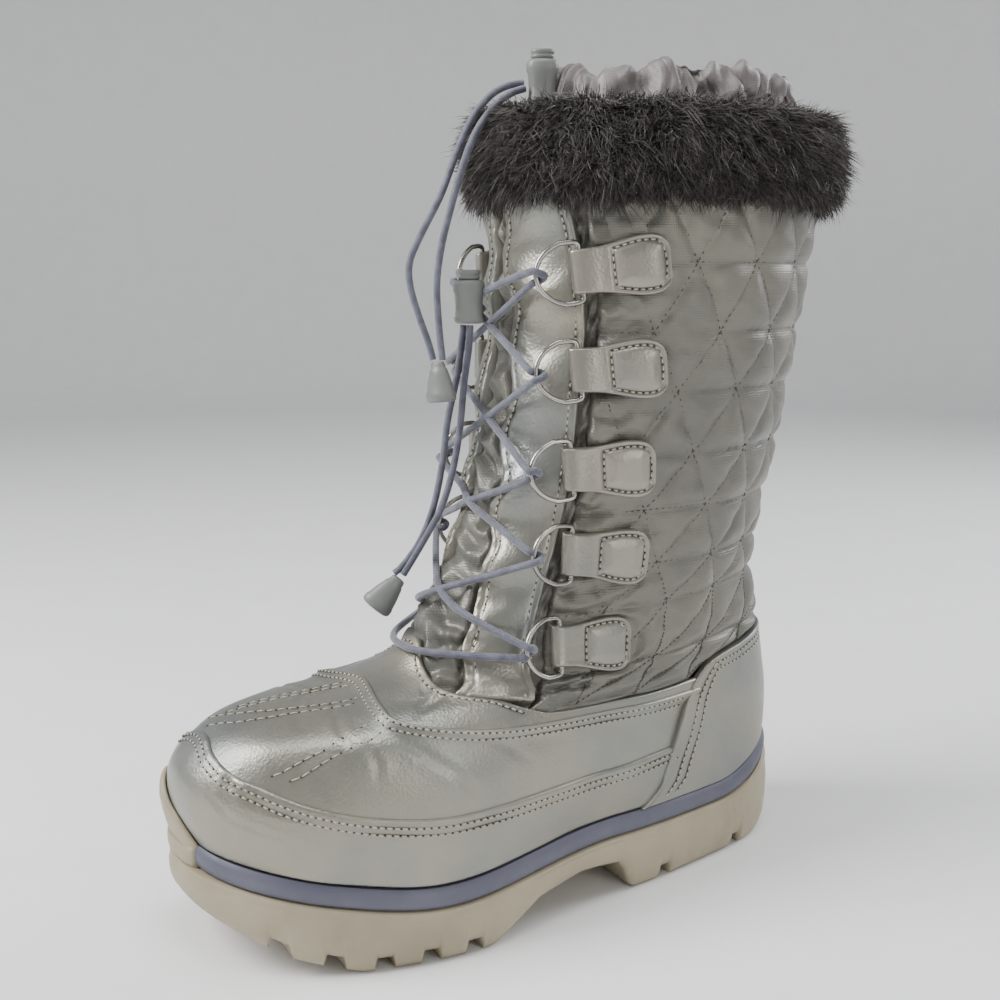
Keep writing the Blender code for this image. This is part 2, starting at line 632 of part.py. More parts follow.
def build_insole(collection):
    degrees = np.arange(0.0, 360.0, 10.0)
    inset = -(UPPER_WALL + 0.0016)
    bottom = feather_height(base_point(0.0, degrees)[:, 1]) + GAP
    loops = []
    for height in (0.0, INSOLE_THICKNESS):
        flat = outline(degrees, np.full(len(degrees), inset))
        loops.append(np.column_stack([flat, bottom + height]))
    slab("insole", loops, "insole", collection)


def build_fur_collar(collection):
    """Deep fur ring over the shaft's top edge; each outer face is drawn out into a lock."""
    count = 40
    degrees = np.arange(count) * 360.0 / count
    clear = PUFF + 2.0 * GAP
    inner_edge = -UPPER_WALL + 0.0012
    section = [
        (clear, -FUR_DROP), (clear, 2.0 * GAP), (inner_edge, 2.0 * GAP), (inner_edge, FUR_RISE * 0.6),
        (-0.0005, FUR_RISE), (FUR_DEPTH * 0.50, FUR_RISE * 0.80), (FUR_DEPTH * 0.88, FUR_RISE * 0.35),
        (FUR_DEPTH, -FUR_DROP * 0.30), (FUR_DEPTH * 0.70, -FUR_DROP * 1.12),
    ]
    loops = [skin(np.full(count, ring_above_top(up)), degrees, np.full(count, out)) for out, up in section]
    collar = tube_of_rings("fur_collar", loops, "fur", collection, False)
    shape = bmesh.new()
    shape.from_mesh(collar.data)
    shape.faces.ensure_lookup_table()
    outer_rows = range(4, len(section))
    for row in outer_rows:
        for k in range(count):
            draw_out_lock(shape, shape.faces[row * count + k], row, k)
    shape.to_mesh(collar.data)
    shape.free()


def draw_out_lock(shape, face, row, k):
    """Pull the middle of a face out and down into a tapered lock of fur."""
    reach = FUR_LOCK * (0.65 + 0.35 * math.sin(2.4 * k + 1.7 * row))
    middle = face.calc_center_median()
    tip = middle + face.normal * reach
    tip.z -= reach * 0.25
    corners = list(face.verts)
    point = shape.verts.new(tip)
    for a, b in zip(corners, corners[1:] + corners[:1]):
        shape.faces.new((a, b, point))
    shape.faces.remove(face)
    shape.faces.ensure_lookup_table()


def build_snow_cuff(collection):
    """Gathered nylon tube inside the collar, drawn in at its top."""
    count = CUFF_GATHERS * 4
    degrees = np.arange(count) * 360.0 / count
    wave = np.cos(np.radians(degrees * CUFF_GATHERS))
    outer = []
    inner = []
    seat = -(UPPER_WALL + TONGUE_TUCK + TONGUE_THICKNESS + 3.0 * GAP)
    front = 0.25 + 0.75 * np.cos(np.radians(degrees) / 2.0) ** 4
    for share, draw, gather in ((0.0, 0.0, 0.0), (0.40, 0.10, 0.3), (0.76, 0.72, 1.0), (1.0, 1.0, 1.0)):
        up = -CUFF_TUCK + (CUFF_TUCK + CUFF_RISE) * share
        offset = seat - CUFF_DRAW * draw * front + 0.0016 * gather * (wave - 1.0)
        ring = np.full(count, ring_above_top(up))
        outer.append(skin(ring, degrees, offset))
        inner.append(skin(ring, degrees, offset - CUFF_WALL))
    tube_of_rings("snow_cuff", outer + inner[::-1], "cuff", collection)


def tab_place(side, tab, forward, upward, offset):
    """A place on or over the shaft in a tab's own directions, from the middle of its near end."""
    tilt = math.radians(tab.tilt)
    arc = forward * math.cos(tilt) - upward * math.sin(tilt)
    level = tab.height + upward * math.cos(tilt) + forward * math.sin(tilt)
    return shaft_point(side, level, HEEL_REACH - tab.front * FOOT_LENGTH, arc, offset)


def tab_seat(tab):
    """Outward step under a tab: the lowest one lies below the quilt."""
    return 2.0 * GAP + (PUFF if tab.height > quilt_heights()[0] else 0.0)


def tab_bar(side, tab):
    """Middle of the ring's bar in a tab's fold, and the outward, rearward and upward directions there."""
    out = tab_seat(tab) + TAB_FOLD / 2.0
    reach = TAB_HEIGHT / 2.0
    bar_arc = TAB_FOLD * 0.6
    low = tab_place(side, tab, bar_arc, -reach, out)
    high = tab_place(side, tab, bar_arc, reach, out)
    middle = tab_place(side, tab, bar_arc, 0.0, out)
    behind = tab_place(side, tab, bar_arc + reach, 0.0, out)
    up = (high - low) / np.linalg.norm(high - low)
    back = behind - middle
    back = back - up * np.dot(back, up)
    back = back / np.linalg.norm(back)
    normal = np.cross(back, up) * side
    return 0.5 * (middle + 0.5 * (low + high)), normal, back, up


def build_tab(name, side, tab, collection, cutters):
    """Leather tab: a folded loop at the throat and a wider rounded end stitched to the shaft."""
    stations = ((0.0, 0.78, 0.9), (0.16, 0.78, 1.0), (0.33, 0.80, 0.1), (0.43, 1.0, 0.0),
                (0.88, 1.0, 0.0), (0.97, 0.86, 0.0), (1.0, 0.62, 0.0))
    outer = []
    inner = []
    for share, height, fold in stations:
        thick = TAB_THICKNESS + (TAB_FOLD - TAB_THICKNESS) * fold
        rows = [(share * TAB_LENGTH, across * height * TAB_HEIGHT) for across in (-0.5, 0.0, 0.5)]
        seat = tab_seat(tab)
        inner.append([tab_place(side, tab, forward, upward, seat) for forward, upward in rows])
        outer.append([tab_place(side, tab, forward, upward, seat + thick) for forward, upward in rows])
    made = patch(name, np.array(outer), np.array(inner), "tab", collection)
    bar, normal, back, up = tab_bar(side, tab)
    hole = rod_between("hole_" + name, bar - up * TAB_HEIGHT, bar + up * TAB_HEIGHT,
                       RING_WIRE / 2.0 + RING_PLAY, cutters)
    cut(made, hole)
    return bar, normal, back, up


def rod_between(name, start, end, radius, cutters):
    """A plain round cutter between two places."""
    axis = (end - start) / np.linalg.norm(end - start)
    aside = np.cross(axis, [0.3, 0.5, 0.1])
    aside /= np.linalg.norm(aside)
    other = np.cross(axis, aside)
    turns = np.radians(np.arange(8) * 45.0)
    circle = np.cos(turns)[:, None] * aside + np.sin(turns)[:, None] * other
    loops = [start + circle * radius, end + circle * radius]
    faces = grid_faces(2, 8, 0, False, True) + [tuple(range(8)), tuple(range(15, 7, -1))]
    rod = make_object(name, np.concatenate(loops), faces, "steel", cutters)
    rod.hide_render = True
    rod.display_type = "WIRE"
    return rod


def bow_place(bar, normal, back, up, turn):
    """A place on the wire of a D-ring's bow, by its turn from the middle in degrees."""
    half = RING_HEIGHT / 2.0
    outward = normal * 0.30 - back
    outward = outward / np.linalg.norm(outward)
    turned = math.radians(turn)
    return bar + up * half * math.sin(turned) + outward * (0.15 + 0.85 * math.cos(turned)) * RING_DEPTH


def build_d_ring(name, bar, normal, back, up, collection):
    """Steel D-ring: a straight bar in the tab's fold and a bow towards the tongue."""
    half = RING_HEIGHT / 2.0
    path = [bar - up * half * 0.92, bar + up * half * 0.92]
    path += [bow_place(bar, normal, back, up, LACE_TURN * k) for k in (7, 5, 3, 1, -1, -3, -5, -7)]
    wire(name, path, RING_WIRE, "steel", collection, True, 1)


def wire(name, path, diameter, colour, collection, closed=False, resolution=2):
    """A round wire or cord along a path, made a mesh with its end caps welded."""
    curve = bpy.data.curves.new(name, "CURVE")
    curve.dimensions = "3D"
    curve.bevel_depth = diameter / 2.0
    curve.bevel_resolution = resolution
    curve.use_fill_caps = True
    spline = curve.splines.new("POLY")
    spline.points.add(len(path) - 1)
    for point, place in zip(spline.points, path):
        point.co = (*map(float, place), 1.0)
    spline.use_cyclic_u = closed
    temporary = bpy.data.objects.new(name + "_curve", curve)
    collection.objects.link(temporary)
    bpy.context.view_layer.update()
    evaluated = temporary.evaluated_get(bpy.context.evaluated_depsgraph_get())
    mesh = bpy.data.meshes.new_from_object(evaluated)
    shape = bmesh.new()
    shape.from_mesh(mesh)
    bmesh.ops.remove_doubles(shape, verts=shape.verts[:], dist=0.00001)
    shape.to_mesh(mesh)
    shape.free()
    bpy.data.objects.remove(temporary, do_unlink=True)
    mesh.name = name
    mesh.shade_smooth()
    return add_object(name, mesh, colour, collection)


def smooth_path(route, spacing):
    """Points at an even spacing on a smooth curve through a route."""
    route = np.asarray(route, float)
    before = np.vstack([2 * route[0] - route[1], route, 2 * route[-1] - route[-2]])
    dense = []
    for k in range(len(route) - 1):
        p0, p1, p2, p3 = before[k:k + 4]
        for t in np.linspace(0.0, 1.0, 24, endpoint=False):
            dense.append(0.5 * (2 * p1 + (p2 - p0) * t + (2 * p0 - 5 * p1 + 4 * p2 - p3) * t ** 2
                                + (3 * p1 - p0 - 3 * p2 + p3) * t ** 3))
    dense.append(route[-1])
    dense = np.array(dense)
    length = np.concatenate([[0.0], np.cumsum(np.linalg.norm(np.diff(dense, axis=0), axis=1))])
    count = max(int(round(length[-1] / spacing)), 2) + 1
    at = np.linspace(0.0, length[-1], count)
    return np.column_stack([np.interp(at, length, dense[:, k]) for k in range(3)])


def build_lace(bows, collection, cutters):
    """Four crossings and the lowest bar, each one solid, with its ends one gap short of the rings."""
    clear = RING_WIRE / 2.0 + LACE_DIAMETER / 4.0 + GAP
    for k in range(1, 5):
        over_ends = (bows[1][k].low, bows[-1][k - 1].high)
        under_ends = (bows[-1][k].low, bows[1][k - 1].high)
        over = wire(f"lace_cross_{k}", lace_strand(*over_ends, clear), LACE_DIAMETER, "cord", collection)
        under = wire(f"lace_under_{k}", lace_strand(*under_ends, clear), LACE_DIAMETER, "cord", cutters)
        under.hide_render = True
        under.display_type = "WIRE"
        cut(over, under, "UNION")
    wire("lace_bar", lace_strand(bows[1][0].low, bows[-1][0].low, clear), LACE_DIAMETER, "cord", collection)


def lace_strand(start, end, clear):
    """Strand from one ring's bow to another's, past the middle line in front of the tongue."""
    middle = over_front(0.5 * (start + end), LACE_LIFT)
    first = start + (middle - start) / np.linalg.norm(middle - start) * clear
    last = end + (middle - end) / np.linalg.norm(middle - end) * clear
    route = [first]
    for share in (0.3, 0.5, 0.7):
        chord = first + (last - first) * share
        lifted = over_front(chord, LACE_LIFT)
        route.append(lifted if lifted[1] < chord[1] else chord)
    return smooth_path(route + [last], 0.010)


def over_front(place, lift):
    """The place over the boot's front with the same side distance and height as another, lifted off it."""
    degrees = np.linspace(-80.0, 80.0, 81)
    low, high = 4.0, float(TOP_RING)
    for _ in range(20):
        ring = 0.5 * (low + high)
        line = skin(np.full(len(degrees), ring), degrees, np.full(len(degrees), lift))
        found = np.array([np.interp(place[0], line[:, 0], line[:, k]) for k in range(3)])
        if found[2] < place[2]:
            low = ring
        else:
            high = ring
    return found


def rounded_box(name, size, place, turn, colour, collection, bevel):
    """A box with rounded edges, turned about Z and then set in place."""
    shape = bmesh.new()
    bmesh.ops.create_cube(shape, size=1.0)
    bmesh.ops.scale(shape, vec=size, verts=shape.verts[:])
    bmesh.ops.bevel(shape, geom=shape.edges[:], offset=bevel, segments=2, affect="EDGES", profile=0.5)
    turned = math.radians(turn)
    for vert in shape.verts:
        x, y = vert.co.x, vert.co.y
        vert.co.x = x * math.cos(turned) - y * math.sin(turned) + place[0]
        vert.co.y = x * math.sin(turned) + y * math.cos(turned) + place[1]
        vert.co.z += place[2]
    mesh = bpy.data.meshes.new(name)
    shape.to_mesh(mesh)
    shape.free()
    return add_object(name, mesh, colour, collection)


def build_cord_lock(prefix, place, turn, collection, cutters):
    """Spring cord lock: a barrel body with a pocket, and the push button that slides down into it."""
    body = rounded_box(prefix + "_body", (LOCK_WIDTH, LOCK_DEPTH, LOCK_HEIGHT), place, turn, "plastic",
                       collection, LOCK_ROUNDING)
    top = place[2] + LOCK_HEIGHT / 2.0
    wide, deep = LOCK_WIDTH * 0.62, LOCK_DEPTH * 0.62
    button_place = (place[0], place[1], top + (BUTTON_RISE - BUTTON_SEAT) / 2.0)
    rounded_box(prefix + "_button", (wide, deep, BUTTON_RISE + BUTTON_SEAT), button_place, turn, "plastic",
                collection, 0.0012)
    low = top - BUTTON_SEAT - BUTTON_TRAVEL - GAP
    high = top + BUTTON_RISE
    pocket = rounded_box(prefix + "_pocket", (wide + 2.0 * BUTTON_PLAY, deep + 2.0 * BUTTON_PLAY, high - low),
                         (place[0], place[1], (low + high) / 2.0), turn, "plastic", cutters, 0.0012)
    pocket.hide_render = True
    pocket.display_type = "WIRE"
    cut(body, pocket)


def build_cord_end(name, top, down, collection):
    """Bell-shaped plastic end piece that grips the two cord ends."""
    down = np.asarray(down, float)
    down = down / np.linalg.norm(down)
    side = np.cross(down, [0.0, 0.0, 1.0])
    side = side / np.linalg.norm(side) if np.linalg.norm(side) > 1e-6 else np.array([1.0, 0.0, 0.0])
    other = np.cross(down, side)
    turns = np.radians(np.arange(12) * 30.0)
    loops = []
    for share, wide in ((0.0, 0.42), (0.12, 0.62), (0.45, 0.82), (0.85, 1.0), (1.0, 0.86)):
        middle = np.asarray(top, float) + down * share * CORD_END_LENGTH
        circle = np.cos(turns)[:, None] * side * 0.66 + np.sin(turns)[:, None] * other
        loops.append(middle + circle * wide * CORD_END_WIDTH / 2.0)
    faces = grid_faces(len(loops), 12, 0, False, True)
    faces += [tuple(range(12)), tuple(range(len(loops) * 12 - 1, (len(loops) - 1) * 12 - 1, -1))]
    make_object(name, np.concatenate(loops), faces, "plastic", collection)


def build_lacing(collection, cutters):
    bows = {1: [], -1: []}
    for side, word in ((1, "lateral"), (-1, "medial")):
        for k, tab in enumerate(TABS, start=1):
            bar, normal, back, up = build_tab(f"tab_{word}_{k}", side, tab, collection, cutters)
            build_d_ring(f"d_ring_{word}_{k}", bar, normal, back, up, collection)
            low, high = (bow_place(bar, normal, back, up, turn) for turn in (-LACE_TURN, LACE_TURN))
            bows[side].append(Bow(low, high))
    build_lace(bows, collection, cutters)


def build_cords(collection, cutters):
    spacing = LACE_DIAMETER * 3.0
    build_cord_lock("lace_lock", LACE_LOCK_PLACE, LOCK_TURN, collection, cutters)
    build_cord_lock("cuff_lock", CUFF_LOCK_PLACE, LOCK_TURN, collection, cutters)
    wire("cuff_cord_outer", smooth_path(CUFF_CORD_OUTER, spacing), LACE_DIAMETER, "cord", collection)
    wire("cuff_cord_inner", smooth_path(CUFF_CORD_INNER, spacing), LACE_DIAMETER, "cord", collection)
    wire("lace_end_near", smooth_path(LACE_END_NEAR, spacing), LACE_DIAMETER, "cord", collection)
    wire("lace_end_far", smooth_path(LACE_END_FAR, spacing), LACE_DIAMETER, "cord", collection)
    build_cord_end("cuff_cord_end", CUFF_CORD_END_PLACE, (0.10, 0.05, -1.0), collection)
    build_cord_end("lace_cord_end", LACE_CORD_END_PLACE, (-0.25, -0.60, -0.76), collection)


def main():
    clear_scene()
    boot = bpy.data.collections.new("snow_boot")
    cutters = bpy.data.collections.new("cutters")
    bpy.context.scene.collection.children.link(boot)
    bpy.context.scene.collection.children.link(cutters)
    build_outsole(boot, cutters)
    build_midsole(boot)
    build_insole(boot)
    build_upper(boot, cutters)
    build_tongue(boot)
    build_overlays(boot)
    build_fur_collar(boot)
    build_snow_cuff(boot)
    build_lacing(boot, cutters)
    build_cords(boot, cutters)


main()
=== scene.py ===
"""Looks of a women's lace-front snow boot, left foot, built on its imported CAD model.

Every panel follows the same surface as the solids: rings that run round the foot and the shaft, counted
from the sole to the rim, and angles counted from the toe, lateral side first. Lengths are in metres.
"""
import math

import bmesh
import bpy
import numpy as np
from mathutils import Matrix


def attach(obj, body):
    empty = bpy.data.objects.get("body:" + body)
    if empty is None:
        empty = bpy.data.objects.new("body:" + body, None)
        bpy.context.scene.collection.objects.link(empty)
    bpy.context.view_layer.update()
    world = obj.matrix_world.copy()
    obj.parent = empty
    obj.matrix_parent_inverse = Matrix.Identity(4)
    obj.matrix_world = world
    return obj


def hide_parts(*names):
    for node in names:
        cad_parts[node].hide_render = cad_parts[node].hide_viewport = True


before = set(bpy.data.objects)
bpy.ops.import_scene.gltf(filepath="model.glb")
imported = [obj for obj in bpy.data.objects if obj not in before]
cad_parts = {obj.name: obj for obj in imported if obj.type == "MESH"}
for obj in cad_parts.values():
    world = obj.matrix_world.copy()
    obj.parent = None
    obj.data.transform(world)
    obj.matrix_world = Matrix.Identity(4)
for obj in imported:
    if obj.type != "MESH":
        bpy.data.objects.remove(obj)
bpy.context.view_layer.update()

# Sizes of the boot, as in the solids
FOOT_LENGTH = 0.255
HEEL_REACH = 0.0507
BALL_WIDTH = 0.093
HEEL_WIDTH = 0.068
SHAFT_WIDTH = 0.105
SOLE_HEIGHT = 0.030
INSTEP_HEIGHT = 0.085
SHAFT_HEIGHT = 0.170
TOE_SWING = 0.010
MIDSOLE_HEIGHT = 0.008
TREAD_DEPTH = 0.0045
GROOVE_WIDTH = 0.005
TAB_LENGTH = 0.035
TAB_HEIGHT = 0.022
TAB_THICKNESS = 0.0024
TAB_FOLD = 0.0052
PUFF = 0.0022
GAP = 0.0003
RING_WIRE = 0.0020
RING_HEIGHT = 0.0230
RING_DEPTH = 0.0165
LACE_DIAMETER = 0.0028
LACE_LIFT = 0.0038
LACE_TURN = 80.0 / 7.0
LOCK_WIDTH = 0.0125
LOCK_DEPTH = 0.0095
LOCK_HEIGHT = 0.0165
LOCK_TURN = 63.0
BUTTON_RISE = 0.0040
CORD_END_LENGTH = 0.0155
CORD_END_WIDTH = 0.0130
CUFF_GATHERS = 13
STITCH_PITCH = 0.0028
STITCH_LENGTH = 0.0020
STITCH_RADIUS = 0.00042

# Heights of the leather layers over the boot's surface
RAND_HEIGHT = 0.0016
VAMP_HEIGHT = 0.0004
SADDLE_HEIGHT = 0.0013
COUNTER_HEIGHT = 0.0020
STRIP_HEIGHT = 0.0014
VAMP_SWELL = 0.0022
VAMP_SWELL_REACH = 0.0045

# Rings: front reach and height, back reach and height, zone, half-widths outside and inside, roundness
RINGS = np.array([
    (1.000, 0.165, 0.000, 0.212, 0.0, 0.527, 0.419, 0.515, 0.473, 0.366, 0.485, 2.7, 3.8),
    (1.020, 0.318, -0.004, 0.341, 0.0, 0.548, 0.452, 0.529, 0.495, 0.409, 0.515, 2.7, 3.6),
    (1.012, 0.482, -0.004, 0.459, 0.0, 0.538, 0.462, 0.544, 0.495, 0.419, 0.529, 2.6, 3.4),
    (0.965, 0.624, 0.000, 0.576, 0.0, 0.495, 0.452, 0.529, 0.462, 0.419, 0.515, 2.5, 3.2),
    (0.878, 0.682, 0.004, 0.694, 0.0, 0.441, 0.430, 0.515, 0.419, 0.409, 0.500, 2.4, 3.0),
    (0.780, 0.718, 0.008, 0.800, 0.0, 0.409, 0.419, 0.500, 0.398, 0.398, 0.485, 2.3, 2.8),
    (0.698, 0.800, 0.016, 0.918, 0.0, 0.398, 0.409, 0.500, 0.387, 0.398, 0.485, 2.2, 2.6),
    (0.635, 0.988, 0.024, 1.035, 0.0, 0.398, 0.419, 0.500, 0.387, 0.409, 0.485, 2.2, 2.5),
    (0.576, 1.130, 0.020, 1.140, 0.5, 0.394, 0.414, 0.416, 0.384, 0.404, 0.405, 2.2, 2.4),
    (0.541, 1.276, 0.000, 1.276, 1.0, 0.400, 0.419, 0.371, 0.390, 0.410, 0.362, 2.2, 2.3),
    (0.514, 1.441, -0.020, 1.441, 1.0, 0.438, 0.448, 0.410, 0.429, 0.438, 0.400, 2.2, 2.2),
    (0.490, 1.647, -0.039, 1.647, 1.0, 0.476, 0.476, 0.448, 0.467, 0.467, 0.438, 2.2, 2.2),
    (0.486, 1.824, -0.055, 1.824, 1.0, 0.495, 0.495, 0.476, 0.486, 0.486, 0.467, 2.2, 2.2),
    (0.486, 2.000, -0.067, 2.000, 1.0, 0.505, 0.505, 0.486, 0.495, 0.495, 0.476, 2.2, 2.2),
])
TOP_RING = len(RINGS) - 1
FEATHER = (
    (-0.10, 1.70), (0.0, 1.60), (0.067, 1.27), (0.153, 1.10), (0.388, 1.117), (0.545, 1.067),
    (0.702, 0.967), (0.859, 1.167), (1.0, 1.467), (1.06, 1.62),
)
TREAD = (
    (-0.05, 0.35), (-0.027, 0.28), (0.012, 0.08), (0.055, 0.0), (0.357, 0.0), (0.376, 0.43),
    (0.459, 0.50), (0.545, 0.40), (0.630, 0.0), (0.827, 0.0), (0.914, 0.22), (0.984, 0.55),
    (1.047, 0.86), (1.08, 1.0),
)
GROOVES = (0.112, 0.286, 0.665, 0.730, 0.795, 0.860, 0.925)

# Seams as angle and ring, then edges as ring and angle, then rings at the rows of the quilting
RAND_SEAM = (
    (0, 2.85), (10, 2.6), (20, 2.32), (30, 2.1), (40, 1.8), (50, 1.57), (60, 1.43), (80, 1.33),
    (100, 1.28), (120, 1.43), (180, 1.5),
)
ANKLE_SEAM = (
    (0, 5.5), (10, 5.37), (20, 5.1), (34, 4.55), (48, 3.85), (60, 3.47), (74, 3.2), (98, 3.03),
    (122, 3.0), (180, 3.0),
)
COLLAR_SEAM = (
    (0, 6.7), (20, 6.13), (38, 5.47), (49, 5.07), (66, 4.4), (77, 3.75), (84, 3.4), (100, 3.3),
    (119, 3.35), (125, 3.9), (140, 4.3), (162, 4.73), (180, 4.85),
)
THROAT_EDGE = (
    (4.1, 77), (4.8, 72), (5.8, 62), (6.8, 54), (7.8, 48), (8.7, 46), (9.7, 43), (10.4, 40), (11.4, 37),
    (12.0, 34), (12.5, 30), (13.5, 29),
)
COUNTER_EDGE = ((0.0, 109), (0.5, 114), (1.5, 117), (2.5, 119), (3.3, 122), (3.9, 125), (5.0, 130))
STRIP_EDGE = (
    (5.2, 44), (5.67, 42), (6.0, 38), (6.27, 34), (6.67, 28), (7.07, 26), (7.43, 22), (7.97, 17),
    (8.55, 13), (9.1, 11), (9.8, 8), (10.4, 6), (11.0, 4), (11.75, -1), (12.5, -4), (13.5, -4),
)
QUILT_ROWS = (
    (2.5, 8.6), (3.5, 8.0), (5.2, 7.0), (7.1, 6.0), (7.9, 5.0), (8.83, 4.0), (9.65, 3.0), (10.4, 2.0),
    (11.03, 1.0), (11.9, 0.0), (12.7, -1.0), (14.0, -2.4),
)
QUILT_SIDE = 0.029
QUILT_START = 75.0

# Tabs: height and reach of the near end, tilt in degrees
TABS = (
    (0.107, 0.498, -4.0), (0.143, 0.474, -6.0), (0.175, 0.466, 0.0), (0.212, 0.451, 2.0),
    (0.248, 0.447, 7.0),
)

# Routes of the hanging cords, as in the solids
CUFF_CORD_OUTER = (
    (-0.0055, -0.0638, 0.3200), (-0.0080, -0.0693, 0.3190), (-0.0085, -0.0768, 0.3150),
    (-0.0080, -0.0853, 0.3060), (-0.0080, -0.0923, 0.2930), (-0.0090, -0.0988, 0.2770),
    (-0.0115, -0.1063, 0.2620), (-0.0130, -0.1103, 0.2520), (-0.0128, -0.1103, 0.2430),
    (-0.0110, -0.1078, 0.2320), (-0.0092, -0.1048, 0.2220), (-0.0080, -0.1033, 0.2150),
)
CUFF_CORD_INNER = (
    (-0.0024, -0.0653, 0.3175), (-0.0035, -0.0708, 0.3155), (-0.0030, -0.0788, 0.3100),
    (-0.0020, -0.0873, 0.3000), (-0.0020, -0.0933, 0.2870), (-0.0030, -0.0978, 0.2720),
    (-0.0050, -0.1008, 0.2580), (-0.0062, -0.1023, 0.2440), (-0.0058, -0.1018, 0.2280),
    (-0.0050, -0.1008, 0.2150),
)
LACE_END_NEAR = (
    (-0.0036, -0.0893, 0.2281), (-0.0042, -0.0895, 0.2200), (-0.0060, -0.0908, 0.2050),
    (-0.0070, -0.0923, 0.1870), (-0.0080, -0.0953, 0.1700), (-0.0100, -0.0993, 0.1560),
    (-0.0130, -0.1043, 0.1450), (-0.0160, -0.1093, 0.1350), (-0.0178, -0.1125, 0.1290),
)
LACE_END_FAR = (
    (-0.0078, -0.0898, 0.2281), (-0.0095, -0.0913, 0.2110), (-0.0120, -0.0948, 0.1910),
    (-0.0130, -0.0968, 0.1740), (-0.0145, -0.1003, 0.1560), (-0.0170, -0.1053, 0.1420),
    (-0.0200, -0.1118, 0.1320), (-0.0214, -0.1148, 0.1292),
)
LACE_LOCK_PLACE = (-0.0055, -0.0887, 0.2370)
CUFF_LOCK_PLACE = (-0.0010, -0.0583, 0.3200)
CUFF_CORD_END_PLACE = (-0.0067, -0.1020, 0.2143)
LACE_CORD_END_PLACE = (-0.0196, -0.1135, 0.1272)

# Camera: the photograph's place, turned a little and zoomed out to frame the whole boot
CAMERA_PLACE = (0.4093, -0.3268, 0.2460)
CAMERA_AZIMUTH = 58.7
CAMERA_FALL = 10.3
CAMERA_FOCUS = 1.22
SENSOR_WIDTH = 36.0

# Studio: the floor's flat radius, the radius of its sweep, and each light's name, place, size, power and
# colour
FLOOR_RADIUS = 1.9
SWEEP_RADIUS = 0.6
BACKDROP_HEIGHT = 1.5
FLOOR_SIDES = 72
BOOT_MIDDLE = (0.0, -0.04, 0.14)
LIGHTS = (
    ("window", (-0.30, -1.00, 0.95), (0.6, 0.7), 24.0, (1.0, 1.0, 1.0)),
    ("fill", (1.25, 0.15, 0.55), (0.4, 0.8), 4.0, (1.0, 0.97, 0.92)),
    ("back", (0.1, 1.1, 0.8), (0.6, 0.6), 11.0, (0.95, 0.97, 1.0)),
    ("top", (0.15, -0.15, 1.15), (0.5, 0.5), 5.0, (1.0, 1.0, 1.0)),
)
WORLD_STRENGTH = 0.50


# The boot's surface

def unit(way):
    return way / np.linalg.norm(way, axis=-1, keepdims=True)


def smooth_table(table, x):
    """Read a table through a smooth curve with no overshoot."""
    xs = np.array([row[0] for row in table], float)
    ys = np.array([row[1] for row in table], float)
    x = np.clip(np.asarray(x, float), xs[0], xs[-1])
    step = np.diff(xs)
    slope = np.diff(ys) / step
    tangent = np.zeros(len(xs))
    tangent[1:-1] = np.where(slope[1:] * slope[:-1] > 0, 0.5 * (slope[1:] + slope[:-1]), 0.0)
    limit = 3 * np.minimum(np.abs(np.append(slope, slope[-1])), np.abs(np.insert(slope, 0, slope[0])))
    tangent = np.clip(tangent, -limit, limit)
    k = np.clip(np.searchsorted(xs, x) - 1, 0, len(xs) - 2)
    t = (x - xs[k]) / step[k]
    a = (2 * t ** 3 - 3 * t ** 2 + 1) * ys[k] + (t ** 3 - 2 * t ** 2 + t) * step[k] * tangent[k]
    return a + (3 * t ** 2 - 2 * t ** 3) * ys[k + 1] + (t ** 3 - t ** 2) * step[k] * tangent[k + 1]


def read_table(table, x):
    return np.interp(x, [row[0] for row in table], [row[1] for row in table])


def rise(height):
    return SOLE_HEIGHT + INSTEP_HEIGHT * min(height, 1.0) + SHAFT_HEIGHT * max(height - 1.0, 0.0)


def ring_rows():
    rows = []
    for front, front_up, back, back_up, zone, *shares in RINGS:
        wide = BALL_WIDTH + (SHAFT_WIDTH - BALL_WIDTH) * zone
        narrow = HEEL_WIDTH + (SHAFT_WIDTH - HEEL_WIDTH) * zone
        ball, waist, heel, in_ball, in_waist, in_heel, toe_p, heel_p = shares
        rows.append([
            HEEL_REACH - front * FOOT_LENGTH, rise(front_up), HEEL_REACH - back * FOOT_LENGTH, rise(back_up),
            ball * wide, waist * wide, heel * narrow, in_ball * wide, in_waist * wide, in_heel * narrow,
            toe_p, heel_p,
        ])
    return np.array(rows)


ROWS = ring_rows()
TOP_STEP = ROWS[TOP_RING, 1] - ROWS[TOP_RING - 1, 1]


def along(y):
    return (HEEL_REACH - np.asarray(y, float)) / FOOT_LENGTH


def feather_height(y):
    return SOLE_HEIGHT * smooth_table(FEATHER, along(y))


def tread_height(y):
    return SOLE_HEIGHT * read_table(TREAD, along(y))


def fold_angle(degrees):
    return np.abs((np.asarray(degrees, float) + 180.0) % 360.0 - 180.0)


def seam_ring(seam, degrees):
    return smooth_table(seam, fold_angle(degrees))


def ease(x):
    x = np.clip(x, 0.0, 1.0)
    return x * x * (3.0 - 2.0 * x)


def half_width(u, ball, waist, heel):
    width = ball + (waist - ball) * ease((u - 0.30) / 0.32)
    return width + (heel - waist) * ease((u - 0.62) / 0.26)


